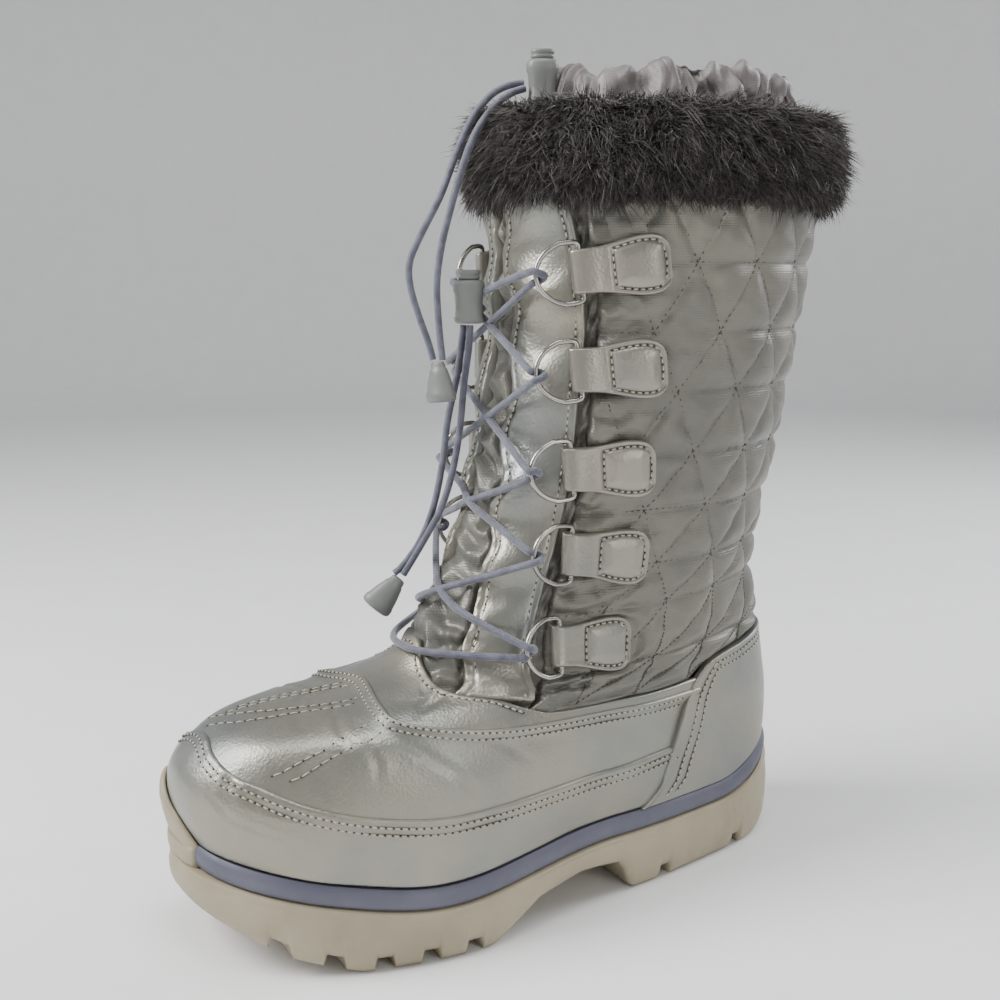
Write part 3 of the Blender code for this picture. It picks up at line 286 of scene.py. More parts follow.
def base_point(ring, degrees):
    """A place on the boot's bare surface: rings are joined by a smooth curve."""
    ring, degrees = np.broadcast_arrays(np.asarray(ring, float), np.asarray(degrees, float))
    ring = np.clip(ring, 0.0, TOP_RING)
    low = np.clip(np.floor(ring).astype(int), 0, TOP_RING - 1)
    f = (ring - low)[..., None]
    p0, p1 = ROWS[np.clip(low - 1, 0, TOP_RING)], ROWS[low]
    p2, p3 = ROWS[low + 1], ROWS[np.clip(low + 2, 0, TOP_RING)]
    row = 0.5 * (2 * p1 + (p2 - p0) * f + (2 * p0 - 5 * p1 + 4 * p2 - p3) * f ** 2
                 + (3 * p1 - p0 - 3 * p2 + p3) * f ** 3)
    front_y, front_z, back_y, back_z, *shares = np.moveaxis(row, -1, 0)
    ball, waist, heel, in_ball, in_waist, in_heel, toe_p, heel_p = shares
    angle = np.radians(degrees)
    cosine = np.cos(angle)
    u = (1.0 - cosine) / 2.0
    power = np.where(u < 0.5, toe_p, heel_p)
    round_off = np.maximum(1.0 - np.abs(cosine) ** power, 0.0) ** (1.0 / power)
    lateral = half_width(u, ball, waist, heel)
    medial = half_width(u, in_ball, in_waist, in_heel)
    width = np.where(np.sin(angle) >= 0.0, lateral, -medial)
    y = front_y + u * (back_y - front_y)
    z = front_z + u * (back_z - front_z)
    straight = ROWS[0, 1] + u * (ROWS[0, 3] - ROWS[0, 1])
    fade = np.clip(1.0 - ring / 4.0, 0.0, 1.0) ** 2
    z = z + (feather_height(y) - straight) * fade
    bend = np.clip((along(y) - 0.545) / 0.451, 0.0, 2.0)
    return np.stack([width * round_off - TOE_SWING * bend ** 2, y, z], -1)


def surface_normal(ring, degrees):
    ring = np.clip(np.asarray(ring, float), 0.0, TOP_RING)
    up = base_point(ring + 0.05, degrees) - base_point(ring - 0.05, degrees)
    round_way = base_point(ring, degrees + 1.0) - base_point(ring, degrees - 1.0)
    return unit(np.cross(round_way, up))


def skin(ring, degrees, offset):
    """A place on the surface, moved out by an offset; above the top ring it goes straight up."""
    ring, degrees = np.broadcast_arrays(np.asarray(ring, float), np.asarray(degrees, float))
    offset = np.broadcast_to(np.asarray(offset, float), ring.shape)
    place = base_point(ring, degrees) + surface_normal(ring, degrees) * offset[..., None]
    above = np.maximum(ring - TOP_RING, 0.0) * TOP_STEP
    return place + np.stack([above * 0.0, above * 0.0, above], -1)


def ring_above_top(rise_over):
    return TOP_RING + rise_over / TOP_STEP


def ripple(places, seed, size):
    """A soft, repeatable unevenness between about -1 and 1, with waves about as long as size."""
    draw = np.random.default_rng(seed)
    total = np.zeros(places.shape[:-1])
    for _ in range(8):
        way = draw.normal(size=3)
        way *= 2.0 * math.pi / (np.linalg.norm(way) * size * draw.uniform(0.7, 1.6))
        total += np.sin(places @ way + draw.uniform(0.0, 6.28))
    return total / 4.0


def length_rows(grid):
    """Length from each point of a grid to its first row, and to its last row."""
    step = np.linalg.norm(np.diff(grid, axis=0), axis=-1)
    run = np.concatenate([np.zeros((1, grid.shape[1])), np.cumsum(step, axis=0)])
    return run, run[-1] - run


# Materials

def add_texture(tree, kind, **settings):
    """A procedural texture in the object's own coordinates."""
    place = tree.nodes.new("ShaderNodeTexCoord")
    made = tree.nodes.new("ShaderNodeTex" + kind)
    for name, value in settings.items():
        made.inputs[name].default_value = value
    tree.links.new(place.outputs["Object"], made.inputs["Vector"])
    return made


def add_noise(tree, scale, detail=4.0):
    return add_texture(tree, "Noise", Scale=scale, Detail=detail, Roughness=0.55).outputs["Fac"]


def add_cells(tree, scale, feature="F1"):
    cells = add_texture(tree, "Voronoi", Scale=scale)
    cells.feature = feature
    return cells.outputs["Distance"]


def add_weave(tree, scale, direction):
    wave = add_texture(tree, "Wave", Scale=scale, Distortion=1.2, Detail=1.0)
    wave.bands_direction = direction
    return wave.outputs["Fac"]


def add_ramp(tree, value, stops):
    ramp = tree.nodes.new("ShaderNodeValToRGB")
    ends = ramp.color_ramp.elements
    for end, (place, colour) in zip((ends[0], ends[1]), (stops[0], stops[-1])):
        end.position = place
        end.color = (*colour, 1.0)
    for place, colour in stops[1:-1]:
        ends.new(place).color = (*colour, 1.0)
    tree.links.new(value, ramp.inputs["Fac"])
    return ramp.outputs["Color"]


def add_range(tree, value, low, high, from_low=0.3, from_high=0.7):
    change = tree.nodes.new("ShaderNodeMapRange")
    change.inputs["From Min"].default_value = from_low
    change.inputs["From Max"].default_value = from_high
    change.inputs["To Min"].default_value = low
    change.inputs["To Max"].default_value = high
    tree.links.new(value, change.inputs["Value"])
    return change.outputs["Result"]


def finish_material(name, colour, roughness, bumps, constants):
    """A shader from a colour maker, a roughness maker or none, a chain of bumps and constant sockets.

    Each bump is a texture's maker, its settings, its strength and its depth in metres.
    """
    made = bpy.data.materials.new(name)
    made.use_nodes = True
    tree = made.node_tree
    shader = tree.nodes["Principled BSDF"]
    tree.links.new(colour(tree), shader.inputs["Base Color"])
    if roughness:
        scale, detail, low, high = roughness
        tree.links.new(add_range(tree, add_noise(tree, scale, detail), low, high), shader.inputs["Roughness"])
    for socket, value in constants.items():
        shader.inputs[socket].default_value = value
    last = None
    for maker, settings, strength, depth in bumps:
        bump = tree.nodes.new("ShaderNodeBump")
        bump.inputs["Strength"].default_value = strength
        bump.inputs["Distance"].default_value = depth
        tree.links.new(maker(tree, *settings), bump.inputs["Height"])
        if last is not None:
            tree.links.new(last, bump.inputs["Normal"])
        last = bump.outputs["Normal"]
    if last is not None:
        tree.links.new(last, shader.inputs["Normal"])
    return made


def patches(scale, detail, *stops):
    """Colour in soft patches between stops."""
    def make(tree):
        return add_ramp(tree, add_noise(tree, scale, detail), stops)
    return make


def pearl_leather(name, cool, mid, warm, metallic, rough_low, rough_high):
    """Coated leather: warm and cool patches, fine grain, worn shine."""
    return finish_material(
        name, patches(14.0, 3.0, (0.34, cool), (0.50, mid), (0.66, warm)), (60.0, 5.0, rough_low, rough_high),
        ((add_noise, (38.0, 7.0), 0.42, 0.0013), (add_cells, (850.0,), 0.30, 0.0003),
         (add_noise, (1600.0, 2.0), 0.12, 0.0002), (add_cells, (150.0, "DISTANCE_TO_EDGE"), 0.10, 0.0006)),
        {"Metallic": metallic, "Coat Weight": 0.12, "Coat Roughness": 0.22})


def cloth(name, dark, mid, light, metallic, rough, weave, sheen):
    """Woven cloth: soft patches, crumples and two directions of thread."""
    return finish_material(
        name, patches(22.0, 4.0, (0.33, dark), (0.5, mid), (0.68, light)),
        (90.0, 3.0, rough - 0.06, rough + 0.08),
        ((add_noise, (120.0, 5.0), 0.30, 0.0008), (add_weave, (weave, "Z"), 0.30, 0.0002),
         (add_weave, (weave, "Y"), 0.22, 0.0002)),
        {"Metallic": metallic, "Sheen Weight": sheen, "Sheen Roughness": 0.4})


def moulded(name, colour, dark, rough, grain, metallic=0.0):
    """Rubber, plastic, metal or thread with faint mottling and grain."""
    return finish_material(
        name, patches(26.0, 5.0, (0.35, dark), (0.62, colour)), (150.0, 4.0, rough - 0.08, rough + 0.1),
        ((add_noise, (grain, 5.0), 0.25, 0.0005), (add_noise, (grain * 6.0, 2.0), 0.1, 0.0002)),
        {"Metallic": metallic})


def braided(name, dark, light):
    """Elastic cord with a braided cover."""
    return finish_material(
        name, patches(260.0, 3.0, (0.35, dark), (0.65, light)), None,
        ((add_weave, (520.0, "DIAGONAL"), 0.35, 0.0003), (add_weave, (480.0, "Z"), 0.3, 0.0003)),
        {"Roughness": 0.55, "Sheen Weight": 0.5})


def fur_material(name, root, tip):
    """Strands that get paler towards their tips, by the mesh's own values."""
    half_way = tuple(0.7 * r + 0.3 * t for r, t in zip(root, tip))

    def tint(tree):
        share = tree.nodes.new("ShaderNodeAttribute")
        share.attribute_name = "tip"
        return add_ramp(tree, share.outputs["Fac"], ((0.0, root), (0.5, half_way), (1.0, tip)))
    return finish_material(name, tint, None, (), {"Roughness": 0.55, "Sheen Weight": 0.3})


LEATHER = pearl_leather("pearl_leather", (0.195, 0.208, 0.206), (0.250, 0.252, 0.224), (0.300, 0.280, 0.230),
                        0.74, 0.31, 0.45)
TAB_LEATHER = pearl_leather("champagne_leather", (0.230, 0.230, 0.208), (0.280, 0.268, 0.232),
                            (0.325, 0.295, 0.250), 0.72, 0.31, 0.44)
NYLON = cloth("quilted_nylon", (0.130, 0.130, 0.114), (0.165, 0.160, 0.138), (0.200, 0.190, 0.158),
              0.50, 0.44, 330.0, 0.12)
GUSSET_NYLON = cloth("gusset_nylon", (0.11, 0.11, 0.10), (0.165, 0.160, 0.14), (0.22, 0.21, 0.175),
                     0.45, 0.47, 330.0, 0.1)
CUFF_NYLON = cloth("cuff_nylon", (0.120, 0.107, 0.104), (0.165, 0.148, 0.144), (0.215, 0.195, 0.188),
                   0.15, 0.38, 500.0, 0.25)
LINING = cloth("lining_fleece", (0.05, 0.048, 0.045), (0.07, 0.066, 0.062), (0.09, 0.085, 0.08),
               0.0, 0.85, 500.0, 0.4)
OUTSOLE = moulded("sand_rubber", (0.36, 0.315, 0.22), (0.29, 0.25, 0.17), 0.50, 60.0)
MIDSOLE = moulded("slate_foam", (0.105, 0.108, 0.145), (0.080, 0.083, 0.115), 0.50, 120.0)
PLASTIC = moulded("grey_plastic", (0.19, 0.197, 0.187), (0.155, 0.162, 0.153), 0.38, 200.0)
STEEL = moulded("plated_wire", (0.42, 0.40, 0.37), (0.30, 0.285, 0.265), 0.22, 90.0, 1.0)
CORD = braided("elastic_cord", (0.062, 0.065, 0.092), (0.112, 0.116, 0.158))
THREAD = moulded("pale_thread", (0.50, 0.455, 0.36), (0.40, 0.36, 0.28), 0.6, 800.0)
# dark thread of the quilting; it also colours the flat dots of painted shade in each needle hole of the
# leather and tab seams
DARK_THREAD_AND_HOLE_SHADE = moulded("dark_thread_and_hole_shade", (0.050, 0.050, 0.047), (0.028, 0.028, 0.027), 0.7, 800.0)
FUR = fur_material("dark_fur", (0.009, 0.0070, 0.0060), (0.27, 0.205, 0.16))
FUR_BASE = moulded("fur_backing", (0.012, 0.010, 0.009), (0.006, 0.005, 0.005), 0.9, 300.0)


# Meshes

BACK_STEP = 3
EDGE_STEPS = (0.0, 0.00012, 0.0004, 0.0008, 0.0013, 0.0020)


def finish_mesh(name, points, faces, finish, body="boot", nodes=()):
    """Make one smooth piece, put it on its body and let it stand for its CAD nodes."""
    mesh = bpy.data.meshes.new(name)
    mesh.from_pydata(np.asarray(points, float).tolist(), [], faces)
    mesh.update()
    mesh.shade_smooth()
    made = bpy.data.objects.new(name, mesh)
    bpy.context.scene.collection.objects.link(made)
    mesh.materials.append(finish)
    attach(made, body)
    if nodes:
        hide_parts(*nodes)
    return made


def grid_faces(rows, columns, first=0, wrap=False, flip=False):
    i, j = np.meshgrid(np.arange(rows - 1), np.arange(columns if wrap else columns - 1), indexing="ij")
    k = (j + 1) % columns
    quads = np.stack([i * columns + j, i * columns + k, (i + 1) * columns + k, (i + 1) * columns + j], -1)
    quads = quads.reshape(-1, 4) + first
    return (quads[:, ::-1] if flip else quads).tolist()


def picks(count, step):
    """Every few places of a run, the first and the last among them."""
    return list(range(0, count - 1, step)) + [count - 1]


def shell(name, outer, inner, finish, nodes=(), wrap=False):
    """A closed panel between an outer grid and an inner one, which is coarser; a wrapped one is a tube."""
    rows, columns = outer.shape[:2]
    size = rows * columns
    down = picks(rows, 1 if wrap else BACK_STEP)
    over = list(range(columns)) if wrap else picks(columns, BACK_STEP)
    wide = len(over)
    back = inner[np.ix_(down, over)]
    faces = grid_faces(rows, columns, 0, wrap) + grid_faces(len(down), wide, size, wrap, True)
    ends = list(zip(range(wide), over, over[1:] + [over[0] + columns]))[:wide if wrap else wide - 1]
    last, last_back = (rows - 1) * columns, size + (len(down) - 1) * wide
    for k, a, b in ends:
        run = [j % columns for j in range(a, b + 1)]
        far = (k + 1) % wide
        faces.append((*reversed(run), size + k, size + far))
        faces.append((*(last + j for j in run), last_back + far, last_back + k))
    if not wrap:
        for k, (a, b) in enumerate(zip(down, down[1:])):
            near, far = size + k * wide, size + (k + 1) * wide
            faces.append((*(i * columns for i in range(a, b + 1)), far, near))
            right = (i * columns + columns - 1 for i in range(b, a - 1, -1))
            faces.append((*right, near + wide - 1, far + wide - 1))
    points = np.concatenate([outer.reshape(-1, 3), back.reshape(-1, 3)])
    return finish_mesh(name, points, faces, finish, nodes=nodes)


def edge_shares(width, count):
    """Shares from 0 to 1, close together near both ends of a width in metres."""
    ends = [f / width for f in EDGE_STEPS]
    middle = np.linspace(ends[-1], 1.0 - ends[-1], count)[1:-1]
    return np.concatenate([ends, middle, [1.0 - e for e in reversed(ends)]])


def rolled(distance, radius):
    """Height share of a rounded edge at a distance from it."""
    return np.sqrt(np.clip(1.0 - (1.0 - np.clip(distance / radius, 0.0, 1.0)) ** 2, 0.0, 1.0))


def turns(count):
    """Equal steps round a full turn, in radians."""
    return np.arange(count) * 2.0 * math.pi / count


def tube_points(path, radius, sides):
    """Rings of points round a path, carried along it without twist."""
    path = np.asarray(path, float)
    tangent = unit(np.gradient(path, axis=0))
    side = unit(np.cross(tangent[0], [0.31, 0.52, 0.79]))
    circles = []
    angle = turns(sides)
    for place, way in zip(path, tangent):
        side = unit(side - way * np.dot(side, way))
        other = np.cross(way, side)
        circles.append(place + radius * (np.cos(angle)[:, None] * side + np.sin(angle)[:, None] * other))
    return np.array(circles)


def closed_tube(circles):
    """Points and faces of a tube with flat ends."""
    rows, sides = circles.shape[:2]
    faces = grid_faces(rows, sides, 0, True)
    faces += [tuple(range(sides - 1, -1, -1)), tuple((rows - 1) * sides + k for k in range(sides))]
    return circles.reshape(-1, 3), faces


def smooth_path(route, spacing):
    """Even places along a smooth curve through a route's points."""
    route = np.asarray(route, float)
    before = np.vstack([2 * route[0] - route[1], route, 2 * route[-1] - route[-2]])
    dense = []
    for k in range(len(route) - 1):
        p0, p1, p2, p3 = before[k:k + 4]
        for t in np.linspace(0.0, 1.0, 24, endpoint=False):
            dense.append(0.5 * (2 * p1 + (p2 - p0) * t + (2 * p0 - 5 * p1 + 4 * p2 - p3) * t ** 2
                                + (3 * p1 - p0 - 3 * p2 + p3) * t ** 3))
    dense.append(route[-1])
    dense = np.array(dense)
    length = np.concatenate([[0.0], np.cumsum(np.linalg.norm(np.diff(dense, axis=0), axis=1))])
    at = np.linspace(0.0, length[-1], max(int(round(length[-1] / spacing)), 2) + 1)
    return np.column_stack([np.interp(at, length, dense[:, k]) for k in range(3)])


class Stitches:
    """Collects short threads and the flat dark dots between them, each painting the shade in a needle hole,
    then makes one mesh of each.
    """

    def __init__(self):
        self.threads = []
        self.hole_shades = []

    def row(self, places, normals, pitch, dash, radius, hole_shades=True):
        """Threads of one length and pitch along a line of places."""
        length = np.concatenate([[0.0], np.cumsum(np.linalg.norm(np.diff(places, axis=0), axis=1))])
        count = int(length[-1] / pitch)
        for k in range(count):
            start = (k + 0.5) * pitch - dash / 2.0
            at = np.array([start, start + dash, start + dash + (pitch - dash) / 2.0])
            p = np.column_stack([np.interp(at, length, places[:, c]) for c in range(3)])
            n = unit(np.array([np.interp(at[0], length, normals[:, c]) for c in range(3)]))
            self.threads.append((p[0], p[1], n, radius))
            # each gap between threads gets a flat dark dot: painted shade in its needle hole
            if hole_shades:
                self.hole_shades.append((p[2], (p[1] - p[0]) / dash, n, (pitch - dash) * 0.6))

    def make(self, name, finish, hole_shade_finish, slot):
        sides = 5
        angle = turns(sides)
        points, faces = [], []
        for start, end, normal, radius in self.threads:
            way = unit(end - start)
            side = unit(np.cross(way, normal))
            up = np.cross(side, way)
            circle = np.cos(angle)[:, None] * side + np.sin(angle)[:, None] * up * 0.8
            first = len(points)
            for share, wide, lift in ((0.0, 0.5, -0.6), (0.5, 1.0, 0.2), (1.0, 0.5, -0.6)):
                middle = start + (end - start) * share + up * radius * lift
                points += list(middle + circle * radius * wide)
            faces += grid_faces(3, sides, first, True)
            faces += [tuple(first + k for k in range(sides - 1, -1, -1)),
                      tuple(first + 2 * sides + k for k in range(sides))]
        finish_mesh(name, points, faces, finish)
        # dots flush with the surface, dark to paint the shade in each needle hole
        if self.hole_shades:
            points, faces = [], []
            for place, way, normal, size in self.hole_shades:
                side = np.cross(way, normal)
                up = np.cross(side, way)
                first = len(points)
                for wide, lift in ((1.0, -0.00045), (0.9, 0.00016)):
                    ring = np.cos(angle)[:, None] * way * size + np.sin(angle)[:, None] * side * STITCH_RADIUS
                    points += list(place + ring * wide + up * lift)
                faces += grid_faces(2, sides, first, True)
                faces += [tuple(first + k for k in range(sides - 1, -1, -1)),
                          tuple(first + sides + k for k in range(sides))]
            finish_mesh(name + "_holes", points, faces, hole_shade_finish)


leather_seams = Stitches()
tab_seams = Stitches()
quilt_seams = Stitches()


def surface_row(rings, degrees, offset, pitch=STITCH_PITCH, dash=STITCH_LENGTH, radius=STITCH_RADIUS):
    """A row of the leather's stitches along a line of rings and angles."""
    leather_seams.row(skin(rings, degrees, offset), surface_normal(rings, degrees), pitch, dash, radius)


def beside(rings, degrees, distance):
    """The same line moved along the surface, upwards by a distance in metres."""
    up = np.linalg.norm(base_point(rings + 0.05, degrees) - base_point(rings - 0.05, degrees), axis=-1) / 0.1
    return rings + distance / up


# Quilted shaft

ARC_RINGS = np.linspace(2.5, TOP_RING, 85)
ARC_DEGREES = np.linspace(0.0, 360.0, 361)
ARC_GRID = base_point(ARC_RINGS[:, None], ARC_DEGREES[None, :])
ARC = np.concatenate([np.zeros((len(ARC_RINGS), 1)),
                      np.cumsum(np.linalg.norm(np.diff(ARC_GRID, axis=1), axis=-1), axis=1)], axis=1)


def arc_at(ring, degrees):
    """Length round the shaft from the toe side, at ring numbers and angles."""
    i = np.clip((np.asarray(ring) - ARC_RINGS[0]) / (ARC_RINGS[1] - ARC_RINGS[0]), 0, len(ARC_RINGS) - 1.001)
    j = np.clip(np.asarray(degrees), 0.0, 359.999)
    a, b = np.floor(i).astype(int), np.floor(j).astype(int)
    f, g = i - a, j - b
    low = ARC[a, b] * (1 - g) + ARC[a, b + 1] * g
    high = ARC[a + 1, b] * (1 - g) + ARC[a + 1, b + 1] * g
    return low * (1 - f) + high * f


def angle_at(ring, arc):
    """Angles at lengths round the shaft, for matching ring numbers."""
    found = np.zeros(len(ring))
    for k, (r, a) in enumerate(zip(ring, arc)):
        i = int(np.clip(round((r - ARC_RINGS[0]) / (ARC_RINGS[1] - ARC_RINGS[0])), 0, len(ARC_RINGS) - 1))
        found[k] = np.interp(a, ARC[i], ARC_DEGREES)
    return found


def quilt_cells(ring, degrees):
    """Count of quilted cells round the shaft and down it."""
    start = arc_at(ring, np.full(np.shape(ring), QUILT_START))
    return (arc_at(ring, degrees) - start) / QUILT_SIDE, read_table(QUILT_ROWS, ring)


def to_line(x):
    """Distance to the nearest quilted line of one family."""
    return np.abs((x + 0.5) % 1.0 - 0.5) * QUILT_SIDE * 0.866


def throat_angle(ring):
    return read_table(THROAT_EDGE, ring)


def shaft_offset(ring, degrees):
    """Outward height of the quilted nylon: puffs between stitched lines, and folds near the tabs."""
    u, v = quilt_cells(ring, degrees)
    puff = 1.0 - np.exp(-to_line(v) / 0.0034)
    puff = puff * (1.0 - 0.8 * np.exp(-to_line(u - v / 2.0) / 0.0030))
    puff = puff * (1.0 - 0.8 * np.exp(-to_line(u + v / 2.0) / 0.0030))
    place = base_point(ring, degrees)
    edge = arc_at(ring, throat_angle(ring))
    total = arc_at(ring, np.full(np.shape(ring), 359.99))
    reach = arc_at(ring, degrees)
    inward = np.minimum(reach - edge, total - edge - reach)
    near = np.exp(-np.clip(inward, 0.0, 1.0) / 0.026)
    fold = np.sin(v * 2.0 * math.pi * 2.0 + 2.2 * ripple(place, 3, 0.05)) * near * 0.0016
    fold = fold + ripple(place * np.array([1.0, 1.0, 2.2]), 5, 0.020) * (0.00030 + 0.0011 * near)
    fold = fold + near * 0.0022 * (0.45 - np.abs(ripple(place * np.array([1.0, 1.0, 2.4]), 7, 0.013)))
    low = np.exp(-np.clip(ring - 3.3, 0.0, 20.0) / 1.6)
    fold = fold + ripple(place * np.array([1.0, 1.0, 2.6]), 9, 0.024) * low * 0.0009
    offset = 0.0002 + 0.0034 * puff * (1.0 - 0.3 * near) + fold
    return np.minimum(offset, under_tabs(place))


tab_lines = []


def under_tabs(place):
    """Greatest height of the nylon, low where a tab is sewn down on it."""
    flat = place.reshape(-1, 3)
    most = np.full(len(flat), 1.0)
    if not tab_lines:
        for side in (1, -1):
            for tab in TABS:
                shares = np.linspace(0.18, 0.82, 7)
                line = [tab_place(side, tab, f * TAB_LENGTH, 0.0, 0.0) for f in shares]
                tab_lines.append((tab, np.array(line)))
    for tab, line in tab_lines:
        close = np.flatnonzero(np.linalg.norm(flat - line[3], axis=-1) < 0.04)
        if len(close):
            gap = np.linalg.norm(flat[close][:, None] - line[None], axis=-1).min(axis=1)
            held = tab_seat(tab) - 0.0004 + 0.9 * np.clip(gap - 0.0105, 0.0, 1.0)
            most[close] = np.minimum(most[close], held)
    return most.reshape(place.shape[:-1])


SHAFT_FRONT_GAP = 0.0028
FRONT_CURVE = 0.052


def shaft_grid(rows, columns):
    """Rings and angles of the nylon shaft, from one side of the throat round the heel to the other."""
    across = np.linspace(0.0, 1.0, columns)
    corner = THROAT_EDGE[0][1]
    seam = seam_ring(COLLAR_SEAM, corner + (360.0 - 2.0 * corner) * across) - 0.12
    ring = seam + (TOP_RING - 0.02 - seam) * np.linspace(0.0, 1.0, rows)[:, None]
    spare = math.degrees(SHAFT_FRONT_GAP / FRONT_CURVE)
    edge = throat_angle(ring) + spare * ease((ring - 4.6) / 1.2)
    return ring, edge + (360.0 - 2.0 * edge) * across


def build_shaft():
    """Padded nylon from the collar's seam to the fur, turned in at the throat."""
    ring, degrees = shaft_grid(190, 300)
    place = base_point(ring, degrees)
    across, _ = length_rows(np.moveaxis(place, 0, 1))
    across = across.T
    inward = np.minimum(across, across[:, -1:] - across)
    round_edge = rolled(inward, 0.004)
    up_run, _ = length_rows(place)
    foot = ease(up_run / 0.004)
    offset = (shaft_offset(ring, degrees) + 0.0035) * round_edge - 0.0035
    offset = offset * foot - 0.0012 * (1.0 - foot)
    outer = skin(ring, degrees, offset)
    inner = skin(ring, degrees, np.minimum(offset - 0.0006, -0.0024))
    made = shell("shaft_quilt", outer, inner, NYLON, ("upper",))
    quilt_rows()


def quilt_rows():
    """Dark thread along the three families of quilted lines."""
    fine = np.linspace(0.0, 1.0, 500)
    levels = [(row, ring) for ring, row in reversed(QUILT_ROWS)]
    for row in range(-1, 8):
        ring = np.full(500, float(read_table(levels, row)))
        edge = throat_angle(ring) + 9.0
        degrees = edge + (360.0 - 2.0 * edge) * fine
        stitch_run(ring, degrees)
    ring = np.linspace(TOP_RING, 3.0, 420)
    v = read_table(QUILT_ROWS, ring)
    start = arc_at(ring, np.full(ring.shape, QUILT_START))
    for lean in (-0.5, 0.5):
        for k in range(-12, 18):
            arc = start + (k + lean * v) * QUILT_SIDE
            stitch_run(ring, angle_at(ring, arc))


def stitch_run(ring, degrees):
    """Stitch the stretches of a line that lie on the nylon."""
    edge = throat_angle(ring) + 8.0
    free = (degrees > edge) & (degrees < 360.0 - edge) & (ring > seam_ring(COLLAR_SEAM, degrees) + 0.12)
    free &= (degrees > 0.5) & (degrees < 359.5) & (ring < TOP_RING - 0.3)
    free &= (degrees < 190.0) | (ring > 5.3)
    where = np.flatnonzero(free)
    if len(where) < 6:
        return
    for part in np.split(where, np.flatnonzero(np.diff(where) > 1) + 1):
        if len(part) < 6:
            continue
        r, d = ring[part], degrees[part]
        places = skin(r, d, shaft_offset(r, d) + 0.00005)
        quilt_seams.row(places, surface_normal(r, d), STITCH_PITCH, 0.0019, 0.00028, False)


# Leather of the foot

# Creases: a line of rings and angles, its depth and its width
CREASES = (
    (((4.73, 8), (4.13, 27), (3.37, 40), (3.1, 44)), 0.00035, 0.0014),
    (((3.33, 46), (2.67, 52), (2.2, 54)), 0.00040, 0.0014),
    (((3.43, 50), (2.83, 60), (2.27, 68), (1.57, 74)), 0.00035, 0.0018),
    (((4.9, -14), (4.3, 2), (4.0, 14), (3.6, 26)), 0.00025, 0.0014),
    (((4.7, -8), (4.1, -27), (3.4, -40), (3.1, -44)), 0.00040, 0.0014),
    (((3.43, -50), (2.83, -60), (2.27, -68)), 0.00035, 0.0018),
    (((3.1, 70), (2.6, 78), (2.0, 84)), 0.00025, 0.0018),
    (((5.25, 42), (4.6, 46), (4.1, 49)), 0.00050, 0.0016),
    (((5.6, 30), (5.1, 38), (4.5, 44)), 0.00040, 0.0014),
    (((5.25, -42), (4.6, -46), (4.1, -49)), 0.00050, 0.0016),
    (((2.2, 18), (1.7, 30), (1.5, 42)), 0.00030, 0.0012),
    (((1.9, 14), (1.3, 24), (1.0, 36)), 0.00025, 0.0010),
)

# Ornamental rows of long stitches on the vamp, as lines of rings and angles
VAMP_ROWS = (
    ((5.6, 0), (4.87, -10), (4.03, -12), (3.33, -12)),
    ((5.5, 4), (4.87, -6), (4.05, -8.5), (3.3, -9)),
    ((5.2, 15), (4.77, 12), (4.17, 4), (3.47, -4), (2.97, -12)),
    ((5.05, 20), (4.65, 17), (4.05, 9), (3.35, 1.5), (2.8, -6)),
    ((4.4, 37), (3.67, 40), (3.03, 39), (2.47, 33), (2.27, 29)),
    ((3.93, 46), (3.33, 47), (2.83, 42), (2.4, 38), (2.2, 34)),
)


def between(points, count):
    """Rings and angles at even steps along a line of them."""
    at = np.linspace(0.0, len(points) - 1.0, count)
    return (np.interp(at, range(len(points)), [p[k] for p in points]) for k in (0, 1))


def crease_offset(place):
    """Soft troughs with a low ridge on each side, along the listed creases."""
    flat = place.reshape(-1, 3)
    total = np.zeros(len(flat))
    for points, depth, width in CREASES:
        line = base_point(*between(points, 40))
        fade = np.sin(np.linspace(0.12, math.pi - 0.12, 40)) ** 0.6
        gap = np.linalg.norm(flat[:, None] - line[None], axis=-1)
        nearest = gap.argmin(axis=1)
        d = gap[np.arange(len(flat)), nearest] / width
        total += depth * fade[nearest] * (0.45 * np.exp(-((d - 2.0) ** 2)) - np.exp(-d ** 2))
    return total.reshape(place.shape[:-1])


LEATHER_ROLL = 0.0012


def leather_panel(name, low, high, degrees, height, rows, nodes=(), rough=0.0003, lift=None):
    """A leather panel from one line of rings to another, with rolled edges."""
    width = float(np.linalg.norm(base_point(high, degrees) - base_point(low, degrees), axis=-1).mean())
    ring = low + (high - low) * edge_shares(width, rows)[:, None]
    turned = np.broadcast_to(degrees, ring.shape)
    place = base_point(ring, turned)
    first, last = length_rows(place)
    body = height + ripple(place, 11, 0.030) * rough + crease_offset(place)
    if lift is not None:
        body = body + lift(last, turned)
    leather_shell(name, ring, turned, body, np.minimum(first, last), nodes)


def leather_shell(name, ring, degrees, height, inward, nodes):
    """Leather of a height over the surface, rolled down where it is near an edge."""
    offset = (height + 0.0002) * rolled(inward, LEATHER_ROLL) - 0.0002
    outer = skin(ring, degrees, offset)
    inner = skin(ring, degrees, np.minimum(offset - 0.0003, -0.0006))
    shell(name, outer, inner, LEATHER, nodes)


def toe_pucker(last, turned):
    """Small gathers under the rand's seam at both sides of the toe."""
    near = np.exp(-((np.abs(turned) - 22.0) / 16.0) ** 2) * np.exp(-last / 0.012)
    return 0.00035 * np.sin(np.radians(turned) * 46.0) * near


def vamp_swell(last, turned):
    """The vamp swells where it is sewn to the saddle."""
    return VAMP_SWELL * np.exp(-(last / VAMP_SWELL_REACH) ** 2)


